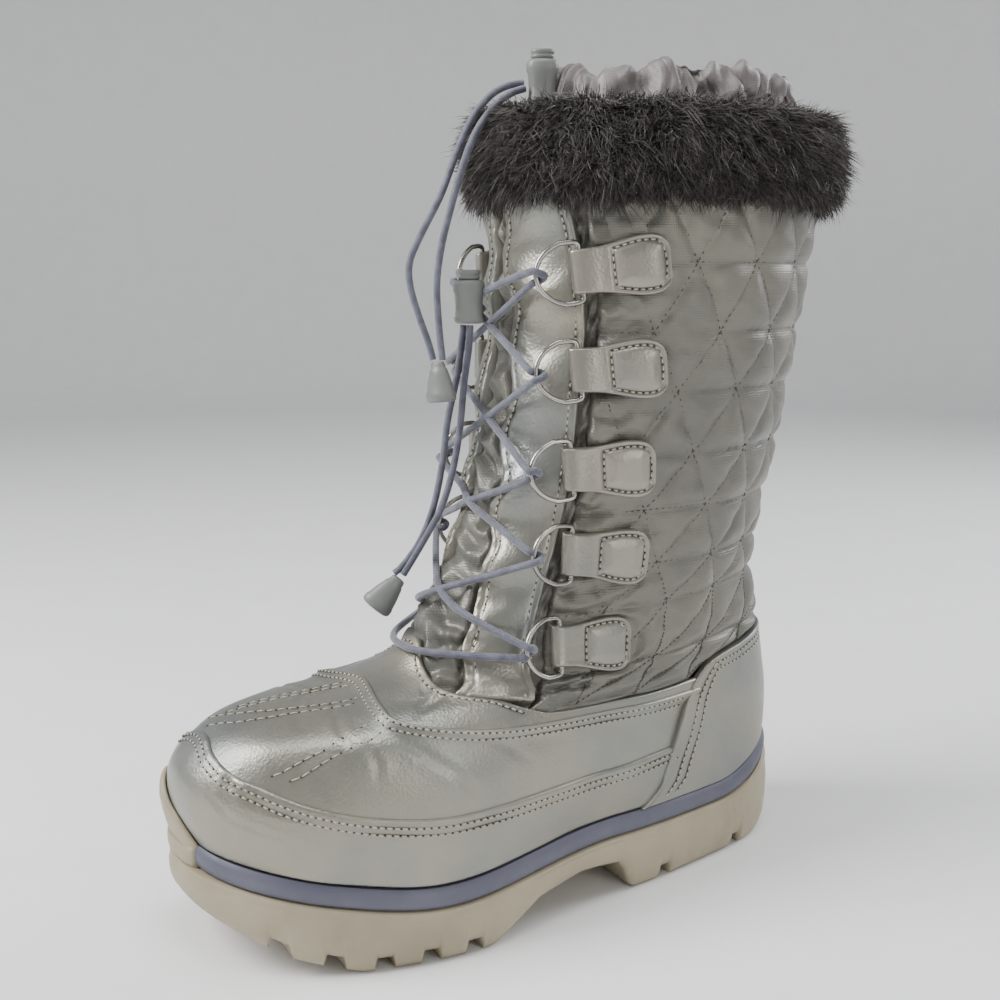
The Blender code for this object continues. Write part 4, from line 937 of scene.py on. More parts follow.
def build_foot():
    """Rand, vamp, saddle and heel counter, their seams, and the lining inside."""
    side = np.linspace(-124.0, 124.0, 300)
    rand_top = seam_ring(RAND_SEAM, side)
    ankle = seam_ring(ANKLE_SEAM, side)
    collar = seam_ring(COLLAR_SEAM, np.clip(side, -119.0, 119.0))
    leather_panel("rand_band", np.full_like(side, -0.02), rand_top, side, RAND_HEIGHT, 26, ("rand",), 0.0004,
                  toe_pucker)
    leather_panel("vamp_panel", rand_top - 0.18, ankle, side, VAMP_HEIGHT, 44, lift=vamp_swell)
    leather_panel("saddle_panel", ankle - 0.10, collar, side, SADDLE_HEIGHT, 22, ("ankle_saddle",))
    heel_counter()
    foot_seams(side)
    lining()


def heel_counter():
    """Leather round the heel, with a raised edge at both sides and at the top."""
    shares = edge_shares(0.06, 26)[:, None]
    across = edge_shares(0.13, 140)
    edge = read_table(COUNTER_EDGE, seam_ring(COLLAR_SEAM, 125.0) * shares)
    degrees = edge + (360.0 - 2.0 * edge) * across
    ring = seam_ring(COLLAR_SEAM, 125.0 + 110.0 * across) * shares
    place = base_point(ring, degrees)
    _, last = length_rows(place)
    near_side = np.minimum(*length_rows(np.moveaxis(place, 0, 1))).T
    height = COUNTER_HEIGHT + ripple(place, 12, 0.035) * 0.0003
    height = height + 0.0008 * np.exp(-(near_side / 0.0022) ** 2) + 0.0008 * np.exp(-(last / 0.0022) ** 2)
    leather_shell("heel_counter_panel", ring, degrees, height, np.minimum(near_side, last), ("heel_counter",))


def foot_seams(side):
    """Double rows along the rand, the saddle and the heel counter, and the rows on the vamp."""
    span = side[np.abs(side) < 119.0]
    for gap in (-0.0030, -0.0056):
        surface_row(beside(seam_ring(RAND_SEAM, span), span, gap), span, RAND_HEIGHT + 0.0002)
    for gap in (-0.0024, -0.0050):
        swell = VAMP_SWELL * math.exp(-(gap / VAMP_SWELL_REACH) ** 2)
        surface_row(beside(seam_ring(ANKLE_SEAM, span), span, gap), span, VAMP_HEIGHT + swell + 0.0001)
    span = side[np.abs(side) < 78.0]
    surface_row(beside(seam_ring(COLLAR_SEAM, span), span, -0.0032), span, SADDLE_HEIGHT + 0.0002)
    rings = np.linspace(0.15, 3.85, 60)
    for turn in (1.0, -1.0):
        for gap in (4.6, 7.4):
            surface_row(rings, (read_table(COUNTER_EDGE, rings) + gap) * turn, COUNTER_HEIGHT + 0.0002)
    back = np.linspace(128.0, 232.0, 120)
    for gap in (-0.0034, -0.0060):
        surface_row(beside(seam_ring(COLLAR_SEAM, back), back, gap), back, COUNTER_HEIGHT + 0.0002)
    for points in VAMP_ROWS:
        rings, degrees = between(points, 60)
        keep = rings > seam_ring(RAND_SEAM, degrees) + 0.1
        surface_row(rings[keep], degrees[keep], VAMP_HEIGHT + 0.0001, 0.0040, 0.0032, 0.00030)


def lining():
    """Dark fleece inside, open at the throat and at the rim."""
    ring = np.linspace(0.1, TOP_RING, 60)[:, None]
    edge = np.where(ring > 5.5, throat_angle(ring) + 3.0, 0.5)
    degrees = edge + (360.0 - 2.0 * edge) * np.linspace(0.0, 1.0, 120)
    shell("lining_fleece", skin(ring, degrees, -0.0029), skin(ring, degrees, -0.0036), LINING)


# Tongue

STRIP_SEAMS = (0.0046, 0.0034)


def strip_edge(ring):
    """Angle of the leather strip's inner edge, scalloped between the crossings of the lace."""
    scallop = 2.6 * np.sin(ring * 2.0 * math.pi / 1.02 + 0.6) * ease((ring - 7.5) / 1.0)
    return smooth_table(STRIP_EDGE, ring) + scallop


def medial_edge(ring):
    """The same for the strip on the other side of the throat."""
    return np.maximum(strip_edge(ring), 10.0)


def tongue_bulge(ring):
    """Leather swells between the crossings of the lace."""
    wave = 0.5 - 0.5 * np.cos((ring - 7.55) * 2.0 * math.pi / 1.12)
    return 0.0030 * wave * ease((ring - 6.6) / 0.8) * ease((13.4 - ring) / 0.6)


def build_tongue():
    """Leather strips along both edges of the throat, and the nylon between them."""
    tongue_strip("tongue_strip", 1.0, strip_edge, ("tongue",))
    tongue_strip("tongue_strip_medial", -1.0, medial_edge, ())
    gusset()


def tongue_strip(name, side, inner_edge, nodes):
    """A bulging strip from its scalloped inner edge to its piped outer edge."""
    shares = edge_shares(0.03, 44)[None, :]
    low = seam_ring(COLLAR_SEAM, 44.0 + 29.0 * shares) - 0.12
    ring = low + (TOP_RING + 0.2 - low) * np.linspace(0.0, 1.0, 200)[:, None]
    left = inner_edge(ring)
    right = throat_angle(ring) - 0.6
    degrees = left + (right - left) * shares
    place = base_point(ring, degrees * side)
    run, end = (grid.T for grid in length_rows(np.moveaxis(place, 0, 1)))
    bulge = np.sin(np.clip(run / (run + end), 0.0, 1.0) * math.pi) ** 0.5
    body = STRIP_HEIGHT + tongue_bulge(ring) * bulge
    body = body + 0.0006 * np.exp(-(end / 0.0012) ** 2) + ripple(place, 21, 0.014) * 0.00028
    body = body - 0.0005 * np.exp(-((run - STRIP_SEAMS[0]) / 0.0009) ** 2)
    body = body - 0.0005 * np.exp(-((end - STRIP_SEAMS[1]) / 0.0009) ** 2)
    creased = np.abs(ripple(place * np.array([1.0, 1.0, 2.2]), 23, 0.010))
    body = body - 0.0007 * creased * np.exp(-(run / 0.010) ** 2)
    foot = ease((ring - low + 0.02) / 0.25)
    offset = (body + 0.003) * np.minimum(rolled(run, 0.0014), rolled(end, 0.0014)) * foot - 0.003
    outer = skin(ring, degrees * side, offset)
    inner = skin(ring, degrees * side, np.minimum(offset - 0.0005, -0.0032))
    if side < 0.0:
        outer, inner = outer[:, ::-1], inner[:, ::-1]
    shell(name, outer, inner, LEATHER, nodes)
    line = np.linspace(5.9, TOP_RING - 0.2, 260)
    for edge, step in ((inner_edge(line), STRIP_SEAMS[0]), (throat_angle(line) - 1.0, -STRIP_SEAMS[1])):
        per_degree = np.linalg.norm(base_point(line, edge + 1.0) - base_point(line, edge), axis=-1)
        turned = edge + step / per_degree
        keep = line > seam_ring(COLLAR_SEAM, turned) + 0.25
        height = 0.0012 + 0.6 * tongue_bulge(line[keep])
        surface_row(line[keep], turned[keep] * side, height)


def gusset():
    """Folded nylon between the strip and both edges of the throat."""
    t = np.linspace(0.0, 1.0, 270)[:, None]
    f = np.linspace(-1.0, 1.0, 130)[None, :]
    foot = seam_ring(COLLAR_SEAM, np.abs(f) * 77.0) - 0.10
    ring = foot + (TOP_RING - foot) * t
    wide = throat_angle(ring) + 9.0 * ease((ring - 4.8) / 1.2)
    degrees = f * wide
    place = base_point(ring, degrees)
    middle = ease((1.02 - np.abs(f) * wide / throat_angle(ring)) / 0.16)
    strip = ease((degrees - strip_edge(ring) + 3.0) / 3.0)
    strip = np.maximum(strip, ease((-degrees - np.maximum(strip_edge(ring), 10.0) + 3.0) / 3.0))
    folds = 0.0016 * np.sin(ring * 2.0 * math.pi * 1.75 + 2.6 * ripple(place, 31, 0.03) + f * 4.0)
    folds = folds + 0.0014 * ripple(place * np.array([1.0, 1.0, 1.5]), 33, 0.020)
    folds = folds - 0.0022 * np.abs(ripple(place * np.array([1.0, 1.0, 1.8]), 34, 0.017))
    folds = folds + 0.0003 * ripple(place * np.array([1.0, 1.0, 1.6]), 36, 0.007)
    puffed = 0.0004 + folds
    tucked = -0.0026 + 0.0011 * ripple(place * np.array([2.0, 2.0, 1.0]), 35, 0.008)
    offset = tucked + (puffed - tucked) * middle * (1.0 - strip) - 0.0012 * strip * middle
    start = ease(t / 0.05)
    offset = offset * start - 0.0030 * (1.0 - start)
    inner = skin(ring, degrees, np.minimum(offset - 0.0009, -0.0056))
    shell("tongue_gusset", skin(ring, degrees, offset), inner, GUSSET_NYLON)


# Tabs, rings and lace

def shaft_point(side, height, front, arc, offset):
    """Place on one side of the shaft: height, start on the Y axis, length on from there, outward offset."""
    degrees = np.linspace(0.0, 170.0, 69) * side
    low, high = 4.0, float(TOP_RING)
    for _ in range(18):
        ring = 0.5 * (low + high)
        line = base_point(ring, degrees)
        length = np.concatenate([[0.0], np.cumsum(np.linalg.norm(np.diff(line, axis=0), axis=1))])
        start = np.interp(front, line[:, 1], length)
        turned = np.interp(start + arc, length, degrees * side) * side
        if base_point(ring, turned)[2] < height:
            low = ring
        else:
            high = ring
    return skin(ring, turned, offset)


def tab_place(side, tab, forward, upward, offset):
    """A place on a tab: lengths forward and upward from the middle of its folded end."""
    tilt = math.radians(tab[2])
    arc = forward * math.cos(tilt) - upward * math.sin(tilt)
    level = tab[0] + upward * math.cos(tilt) + forward * math.sin(tilt)
    return shaft_point(side, level, HEEL_REACH - tab[1] * FOOT_LENGTH, arc, offset)


def tab_seat(tab):
    """How far a tab stands off the wall: clear of the quilting's puffs, or of the leather."""
    return 2.0 * GAP + (PUFF if tab[0] > 0.130 else 0.0)


def tab_bar(side, tab):
    """Middle of a D-ring's bar, with the ways outward, back along the tab and up the bar."""
    out = tab_seat(tab) + TAB_FOLD / 2.0
    reach = TAB_HEIGHT / 2.0
    bar_arc = TAB_FOLD * 0.6
    low = tab_place(side, tab, bar_arc, -reach, out)
    high = tab_place(side, tab, bar_arc, reach, out)
    middle = tab_place(side, tab, bar_arc, 0.0, out)
    behind = tab_place(side, tab, bar_arc + reach, 0.0, out)
    up = unit(high - low)
    back = behind - middle
    back = unit(back - up * np.dot(back, up))
    normal = np.cross(back, up) * side
    return 0.5 * (middle + 0.5 * (low + high)), normal, back, up


def bow_place(frame_of, turn, reach=RING_DEPTH, out=0.0):
    """A place on the bow of a D-ring, or beside its wire, by its turn from the middle in degrees."""
    bar, normal, back, up = frame_of
    outward = unit(normal * 0.30 - back)
    across = np.cross(up, outward)
    if np.dot(across, normal) < 0:
        across = -across
    turned = math.radians(turn)
    place = bar + up * RING_HEIGHT / 2.0 * math.sin(turned)
    return place + outward * (0.15 + 0.85 * math.cos(turned)) * reach + across * out


def tab_outline(share):
    """Half height of a tab along its length, as a share of TAB_HEIGHT."""
    table = ((0.0, 0.375), (0.25, 0.38), (0.40, 0.41), (0.55, 0.46), (0.68, 0.495), (0.78, 0.50),
             (0.86, 0.48), (0.92, 0.43), (0.97, 0.34), (1.0, 0.22))
    return smooth_table(table, share)


def build_tab(name, side, tab):
    """Leather tab with a folded end, rolled edges and a box of stitches."""
    along_share = np.concatenate([[0.0, 0.008, 0.025, 0.05], np.linspace(0.07, 0.97, 62), [0.98, 0.99, 1.0]])
    half_across = np.array([0.0, 0.1, 0.2, 0.3, 0.4, 0.5, 0.6, 0.66, 0.71, 0.76, 0.80, 0.84, 0.88, 0.92,
                            0.96, 0.985, 1.0])
    across = np.concatenate([-half_across[:0:-1], half_across])
    seat = tab_seat(tab)
    length_keys = np.linspace(0.0, 1.0, 9)
    height_keys = (-0.5, -0.25, 0.0, 0.25, 0.5)
    key, lifted = (
        np.array([[tab_place(side, tab, f * TAB_LENGTH, u * TAB_HEIGHT, offset) for u in height_keys]
                  for f in length_keys])
        for offset in (0.0, 0.001))
    normals = (lifted - key) / 0.001

    def read(grid, f, u):
        fs = np.interp(f, length_keys, np.arange(9.0))
        us = np.interp(u, height_keys, np.arange(5.0))
        i, j = np.clip(fs.astype(int), 0, 7), np.clip(us.astype(int), 0, 3)
        a, b = (fs - i)[..., None], (us - j)[..., None]
        return (grid[i, j] * (1 - a) * (1 - b) + grid[i + 1, j] * a * (1 - b) + grid[i, j + 1] * (1 - a) * b
                + grid[i + 1, j + 1] * a * b)

    f = np.broadcast_to(along_share[:, None], (len(along_share), len(across)))
    half = tab_outline(along_share)[:, None]
    u = across[None, :] * half
    ends = np.minimum(f, 1.0 - f) * TAB_LENGTH
    edge = np.minimum((half - np.abs(u)) * TAB_HEIGHT, np.where(f > 0.5, ends, 1.0))
    fold = 1.0 - ease((f - 0.10) / 0.30)
    thick = TAB_THICKNESS + (TAB_FOLD - TAB_THICKNESS) * fold
    nose = rolled(f * TAB_LENGTH, TAB_FOLD / 2.0)
    low = seat + TAB_FOLD * 0.5 * (1.0 - nose) * (fold > 0.5)
    inside = np.minimum(edge - 0.0021, (f - 0.42) * TAB_LENGTH)
    cushion = 0.0011 * ease(inside / 0.005)
    groove = 0.0009 * np.exp(-(inside / 0.0008) ** 2)
    tall = thick * np.where(f < 0.15, 0.5 + 0.5 * nose, 1.0) + cushion - groove
    top = seat + tall * np.clip(0.55 + 0.45 * rolled(edge, 0.0009), 0.0, 1.0)
    ground = read(key, f, u)
    way = read(normals, f, u)
    shell(name, ground + way * top[..., None], ground + way * (low - 0.0012)[..., None], TAB_LEATHER,
          (name.replace("strap", "tab"),))
    inset = 0.0021 / TAB_HEIGHT
    route = [(v, -tab_outline(np.array(v)) + inset) for v in np.linspace(0.43, 0.87, 9)]
    route += [(0.915, -0.28), (0.94, -0.14), (0.945, 0.0), (0.94, 0.14), (0.915, 0.28)]
    route += [(v, tab_outline(np.array(v)) - inset) for v in np.linspace(0.87, 0.43, 9)]
    route += [(0.42, 0.25), (0.42, 0.0), (0.42, -0.25), (0.43, -tab_outline(np.array(0.43)) + inset)]
    fs = np.array([p[0] for p in route], float)
    us = np.array([float(p[1]) for p in route])
    dense = np.linspace(0.0, len(route) - 1.0, 160)
    fs, us = np.interp(dense, range(len(route)), fs), np.interp(dense, range(len(route)), us)
    normal = read(normals, fs, us)
    places = read(key, fs, us) + normal * (seat + TAB_THICKNESS - 0.0005)
    tab_seams.row(places, normal, 0.0027, 0.0019, STITCH_RADIUS)


def build_lacing():
    """Tabs and wire rings on both sides, and the lace that runs through them."""
    frames = {}
    for side, word in ((1, "lateral"), (-1, "medial")):
        for k, tab in enumerate(TABS, start=1):
            build_tab(f"strap_{word}_{k}", side, tab)
            frames[side, k] = tab_bar(side, tab)
            bar, _, _, up = frames[side, k]
            half = RING_HEIGHT / 2.0
            path = [bar - up * half * s for s in (0.90, 0.45, 0.0, -0.45, -0.90)]
            path += [bow_place(frames[side, k], turn) for turn in np.linspace(76.0, -76.0, 19)]
            dense = closed_curve(np.array(path), 72)
            circles = ring_tube(dense, RING_WIRE / 2.0, 12)
            faces = grid_faces(len(dense), 12, 0, True)
            last = (len(dense) - 1) * 12
            faces += [(last + j, last + (j + 1) % 12, (j + 1) % 12, j) for j in range(12)]
            finish_mesh(f"wire_ring_{word}_{k}", circles.reshape(-1, 3), faces, STEEL,
                        nodes=(f"d_ring_{word}_{k}",))
    build_lace(frames)


def closed_curve(path, count):
    """Even places along a smooth loop through a path's points."""
    wrapped = np.vstack([path[-3:], path, path[:3]])
    smooth = smooth_path(wrapped, 0.0004)
    first = int(np.argmin(np.linalg.norm(smooth - path[0], axis=1)[: len(smooth) // 2]))
    last = len(smooth) // 2 + int(np.argmin(np.linalg.norm(smooth - path[0], axis=1)[len(smooth) // 2:]))
    loop = smooth[first:last]
    at = np.linspace(0.0, len(loop), count, endpoint=False)
    return np.column_stack([np.interp(at, range(len(loop)), loop[:, k]) for k in range(3)])


def ring_tube(loop, radius, sides):
    """Circles round a closed loop, squared to it in the loop's own plane."""
    tangent = unit(np.roll(loop, -1, axis=0) - np.roll(loop, 1, axis=0))
    plane = np.linalg.svd(loop - loop.mean(axis=0))[2][2]
    side = unit(np.cross(tangent, plane))
    up = np.cross(side, tangent)
    angle = turns(sides)[:, None]
    return loop[:, None] + radius * (np.cos(angle) * side[:, None] + np.sin(angle) * up[:, None])


def over_front(place, lift):
    """The place over the boot's front with the same side distance and height as another, lifted off it."""
    degrees = np.linspace(-80.0, 80.0, 81)
    low, high = 4.0, float(TOP_RING)
    for _ in range(18):
        ring = 0.5 * (low + high)
        line = skin(np.full(len(degrees), ring), degrees, lift)
        found = np.array([np.interp(place[0], line[:, 0], line[:, k]) for k in range(3)])
        if found[2] < place[2]:
            low = ring
        else:
            high = ring
    return found


def strand_between(start, end):
    """Middle points of a strand that runs over the tongue from one ring to another."""
    points = []
    for share in (0.3, 0.5, 0.7):
        chord = start + (end - start) * share
        lifted = over_front(chord, LACE_LIFT)
        points.append(lifted if lifted[1] < chord[1] else chord)
    return points


def build_lace(frames):
    """One elastic cord that crosses the tongue and runs through every ring."""
    order = ((1, 5), (-1, 4), (1, 3), (-1, 2), (1, 1), (-1, 1), (1, 2), (-1, 3), (1, 4), (-1, 5))
    lock = np.array(LACE_LOCK_PLACE)
    across = np.array([math.cos(math.radians(LOCK_TURN)), math.sin(math.radians(LOCK_TURN)), 0.0])
    route = [lock + across * LOCK_WIDTH * 0.45 + [0.0, 0.0, 0.0035]]
    lift = LACE_DIAMETER / 2.0 + RING_WIRE / 2.0
    for k, (side, level) in enumerate(order):
        ring = frames[side, level]
        turn = LACE_TURN if k < 5 else -LACE_TURN
        begin = bow_place(ring, turn, RING_DEPTH + 0.0022, lift * 0.6)
        if k == 0:
            route += [0.5 * (route[0] + begin) + [0.0, -0.0015, 0.0]]
        else:
            route += strand_between(route[-1], begin)
        route += [
            begin,
            bow_place(ring, turn * 0.7, RING_DEPTH - 0.0004, lift),
            bow_place(ring, 0.0, RING_DEPTH - 0.0034),
            bow_place(ring, -turn * 0.7, RING_DEPTH - 0.0004, -lift),
            bow_place(ring, -turn, RING_DEPTH + 0.0022, -lift * 0.6),
        ]
    last = lock + across * LOCK_WIDTH * 0.45 - [0.0, 0.0, 0.0030]
    route += [0.5 * (route[-1] + last) + [0.0, -0.0015, 0.0], last]
    points, faces = closed_tube(tube_points(smooth_path(route, 0.0012), LACE_DIAMETER / 2.0, 12))
    nodes = ("lace_cross_1", "lace_cross_2", "lace_cross_3", "lace_cross_4", "lace_bar")
    finish_mesh("lace_run", points, faces, CORD, nodes=nodes)


# Locks, cord ends and hanging cords

def loft(name, sections, finish, body, nodes, place, turn, sides=40):
    """A closed moulded form: each section has a height, half width, half depth and squareness."""
    c, s = np.cos(turns(sides)), np.sin(turns(sides))
    loops = []
    for height, wide, deep, power in sections:
        x = np.sign(c) * np.abs(c) ** (2.0 / power) * wide
        y = np.sign(s) * np.abs(s) ** (2.0 / power) * deep
        loops.append(np.column_stack([x, y, np.full(sides, height)]))
    points = np.concatenate(loops)
    turned = math.radians(turn)
    x = points[:, 0] * math.cos(turned) - points[:, 1] * math.sin(turned) + place[0]
    y = points[:, 0] * math.sin(turned) + points[:, 1] * math.cos(turned) + place[1]
    points = np.column_stack([x, y, points[:, 2] + place[2]])
    faces = grid_faces(len(loops), sides, 0, True)
    faces += [tuple(range(sides - 1, -1, -1)), tuple((len(loops) - 1) * sides + k for k in range(sides))]
    return finish_mesh(name, points, faces, finish, body, nodes)


def build_lock(prefix, place):
    """Spring cord lock: flanged barrel with a waist, and a push button with a grooved rim."""
    w, d, h = LOCK_WIDTH / 2.0, LOCK_DEPTH / 2.0, LOCK_HEIGHT / 2.0
    top = h + BUTTON_RISE
    body = (
        (-h, 0.72, 0.66), (-h * 0.97, 0.84, 0.80), (-h * 0.90, 0.92, 0.90), (-h * 0.74, 0.94, 0.94),
        (-h * 0.66, 0.86, 0.86), (-h * 0.2, 0.84, 0.88), (h * 0.35, 0.90, 0.94), (h * 0.52, 0.99, 0.99),
        (h * 0.80, 0.99, 0.99), (h * 0.95, 0.93, 0.92), (h, 0.84, 0.82), (h, 0.78, 0.78),
        (h - 0.0040, 0.76, 0.76),
    )
    button = (
        (h - 0.0006, 0.66), (h + 0.0006, 0.66), (top - 0.0031, 0.72), (top - 0.0026, 0.72),
        (top - 0.0021, 0.64), (top - 0.0017, 0.72), (top - 0.0006, 0.73), (top - 0.0001, 0.66), (top, 0.54),
    )
    barrel = [(height, w * wide, d * deep, 2.4) for height, wide, deep in body]
    plunger = [(height, w * wide, d * wide, 2.2) for height, wide in button]
    node = prefix + "_button"
    return [loft(prefix + "_barrel", barrel, PLASTIC, "boot", (prefix + "_body",), place, LOCK_TURN),
            loft(prefix + "_plunger", plunger, PLASTIC, node, (node,), place, LOCK_TURN)]


def build_cord_end(name, node, top, down):
    """Bell-shaped end piece with a flat mouth and two low ribs."""
    down = unit(np.asarray(down, float))
    side = unit(np.cross(down, [0.0, 0.0, 1.0]))
    other = np.cross(down, side)
    angle = turns(36)
    loops = []
    profile = ((0.0, 0.34), (0.015, 0.42), (0.06, 0.47), (0.16, 0.50), (0.19, 0.58), (0.28, 0.64),
               (0.5, 0.80), (0.75, 0.93), (0.80, 0.99), (0.92, 1.0), (0.97, 0.95), (1.0, 0.84))
    for share, wide in profile:
        middle = np.asarray(top, float) + down * share * CORD_END_LENGTH
        circle = np.cos(angle)[:, None] * side * 0.66 + np.sin(angle)[:, None] * other
        loops.append(middle + circle * wide * CORD_END_WIDTH / 2.0)
    points, faces = closed_tube(np.array(loops))
    return finish_mesh(name, points, faces, PLASTIC, "boot", (node,))


def build_cord(name, node, route):
    """A hanging cord; its line is the solid's, and its end goes into its end piece."""
    path = smooth_path(route, 0.0025)
    curve = bpy.data.curves.new(name, "CURVE")
    curve.dimensions = "3D"
    curve.bevel_depth = LACE_DIAMETER / 2.0
    curve.bevel_resolution = 4
    curve.use_fill_caps = True
    spline = curve.splines.new("POLY")
    spline.points.add(len(path) - 1)
    for point, place in zip(spline.points, path):
        point.co = (*map(float, place), 1.0)
    curve.materials.append(CORD)
    made = bpy.data.objects.new(name, curve)
    bpy.context.scene.collection.objects.link(made)
    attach(made, "boot")
    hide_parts(node)


def build_cords():
    """Both cord locks, both end pieces and the four cords between them."""
    lace_lock = build_lock("lace_lock", LACE_LOCK_PLACE)
    cuff_lock = build_lock("cuff_lock", CUFF_LOCK_PLACE)
    cuff_end = build_cord_end("cuff_cord_bell", "cuff_cord_end", CUFF_CORD_END_PLACE, (0.10, 0.05, -1.0))
    lace_end = build_cord_end("lace_cord_bell", "lace_cord_end", LACE_CORD_END_PLACE, (-0.25, -0.60, -0.76))
    build_cord("cuff_cord_a", "cuff_cord_outer", CUFF_CORD_OUTER)
    build_cord("cuff_cord_b", "cuff_cord_inner", CUFF_CORD_INNER)
    build_cord("lace_end_a", "lace_end_near", LACE_END_NEAR)
    build_cord("lace_end_b", "lace_end_far", LACE_END_FAR)


# Fur collar and snow cuff

def fur_section(t):
    """Offset and height of the fur's backing, from the inner rim over the top to the lower edge."""
    table = ((0.0, -0.0018, 0.004), (0.15, -0.0018, 0.016), (0.30, 0.0008, 0.0225), (0.45, 0.0045, 0.0205),
             (0.62, 0.0080, 0.0120), (0.80, 0.0085, 0.0000), (0.92, 0.0060, -0.0085), (1.0, 0.0030, -0.0100))
    ts = [row[0] for row in table]
    return np.interp(t, ts, [row[1] for row in table]), np.interp(t, ts, [row[2] for row in table])


def build_fur():
    """Dark backing under two layers of strands."""
    columns, rows = 160, 28
    degrees = np.broadcast_to(np.arange(columns) * 360.0 / columns, (rows, columns))
    out, up = fur_section(np.linspace(0.0, 1.0, rows)[:, None])
    outer = skin(ring_above_top(up), degrees, out)
    inner_out = np.clip(out - 0.004, -0.0022, PUFF + 0.0006)
    inner = skin(ring_above_top(np.minimum(up, 0.004 + 0.4 * up)), degrees, inner_out)
    shell("fur_backing", outer, inner, FUR_BASE, ("fur_collar",), wrap=True)
    fur_blades("fur_undercoat", 41, 2300, 35000, 0.0088, 0.00019)
    fur_blades("fur_guard_hairs", 43, 1700, 22000, 0.0112, 0.00016)


def fur_blades(name, seed, tufts, count, reach, half):
    """Tapered strands in tufts: each tuft leans its own way, its strands curl down and end near its tip."""
    draw = np.random.default_rng(seed)
    tuft_t = draw.uniform(0.12, 1.0, tufts)
    tuft_angle = draw.uniform(0.0, 360.0, tufts)
    owner = draw.integers(0, tufts, count)
    t = np.clip(tuft_t[owner] + draw.normal(0.0, 0.032, count), 0.02, 1.0)
    angle = tuft_angle[owner] + draw.normal(0.0, 1.6, count)
    out, up = fur_section(t)
    root = skin(ring_above_top(up), angle, out - 0.0006)
    normal = surface_normal(np.full(count, float(TOP_RING)), angle)
    out2, up2 = fur_section(np.clip(t + 0.02, 0.0, 1.0))
    out1, up1 = fur_section(np.clip(t - 0.02, 0.0, 1.0))
    size = np.hypot(out2 - out1, up2 - up1)
    run_out, run_up = ((out2 - out1) / size)[:, None], ((up2 - up1) / size)[:, None]
    rising = np.array([0.0, 0.0, 1.0])
    away = normal * -run_up + rising * run_out
    down = normal * run_out + rising * run_up
    swirl = np.cross(normal, rising)
    tuft_lean = draw.normal(0.0, 0.62, (tufts, 3))
    lean = draw.normal(0.0, 0.20, (count, 3)) + tuft_lean[owner]
    length = reach * draw.uniform(0.6, 1.15, count) * draw.uniform(0.68, 1.08, tufts)[owner]
    way = away * (0.85 + 0.25 * lean[:, :1]) + down * (0.42 + 0.62 * lean[:, 1:2]) + swirl * lean[:, 2:3]
    way = unit(way)
    curl = draw.normal(0.0, 0.28, (tufts, 3))[owner] + draw.normal(0.0, 0.10, (count, 3))
    fall = np.array([0.0, 0.0, -0.16])
    middle = root + way * (length * 0.5)[:, None]
    end_way = way * 0.88 + down * 0.18 + fall + curl * 0.75
    tip = root + end_way * length[:, None]
    heart = skin(ring_above_top(fur_section(tuft_t)[1]), tuft_angle, fur_section(tuft_t)[0] + 0.0085)[owner]
    gap = np.linalg.norm(heart - tip, axis=1)
    tip = tip + (heart - tip) * (0.20 * np.clip(0.012 / (gap + 0.004), 0.0, 1.0))[:, None]
    wide = half * draw.uniform(0.7, 1.4, count)
    across = unit(np.cross(way, draw.normal(size=(count, 3)))) * wide[:, None]
    upper = middle + (tip - middle) * 0.5 + (middle - root) * 0.08
    points = np.stack([root - across, root + across, middle - across * 0.9, middle + across * 0.9,
                       upper - across * 0.55, upper + across * 0.55, tip], 1)
    base = np.arange(count)[:, None] * 7
    quads = (base + np.array([0, 1, 3, 2])).tolist() + (base + np.array([2, 3, 5, 4])).tolist()
    tips = (base + np.array([4, 5, 6])).tolist()
    made = finish_mesh(name, points.reshape(-1, 3), quads + tips, FUR)
    pale = np.where(draw.uniform(0.0, 1.0, tufts) > 0.70, 1.0, 0.35) * draw.uniform(0.5, 1.0, tufts)
    pale = pale * (0.75 + 0.35 * np.clip(1.0 - tuft_t / 0.6, 0.0, 1.0))
    shade = pale[owner] * draw.uniform(0.6, 1.0, count)
    values = shade[:, None] * np.array([0.0, 0.0, 0.25, 0.25, 0.7, 0.7, 1.0])
    mark = made.data.attributes.new("tip", "FLOAT", "POINT")
    mark.data.foreach_set("value", values.reshape(-1))


# Section of the cuff, from inside the shaft up and over its hem: height over the rim, share of the pull
# inward, and how far its gathers puff
CUFF_SECTION = (
    (-0.018, 0.0, 0.0), (-0.008, 0.0, 0.0), (0.002, 0.05, 0.1), (0.010, 0.25, 0.35), (0.016, 0.48, 0.75),
    (0.020, 0.62, 1.0), (0.024, 0.74, 1.15), (0.028, 0.84, 1.2), (0.032, 0.93, 1.1), (0.035, 1.02, 0.85),
    (0.0372, 1.12, 0.5), (0.0382, 1.24, 0.2), (0.0378, 1.38, 0.1), (0.0362, 1.50, 0.1),
    (0.0335, 1.56, 0.1), (0.030, 1.58, 0.1),
)


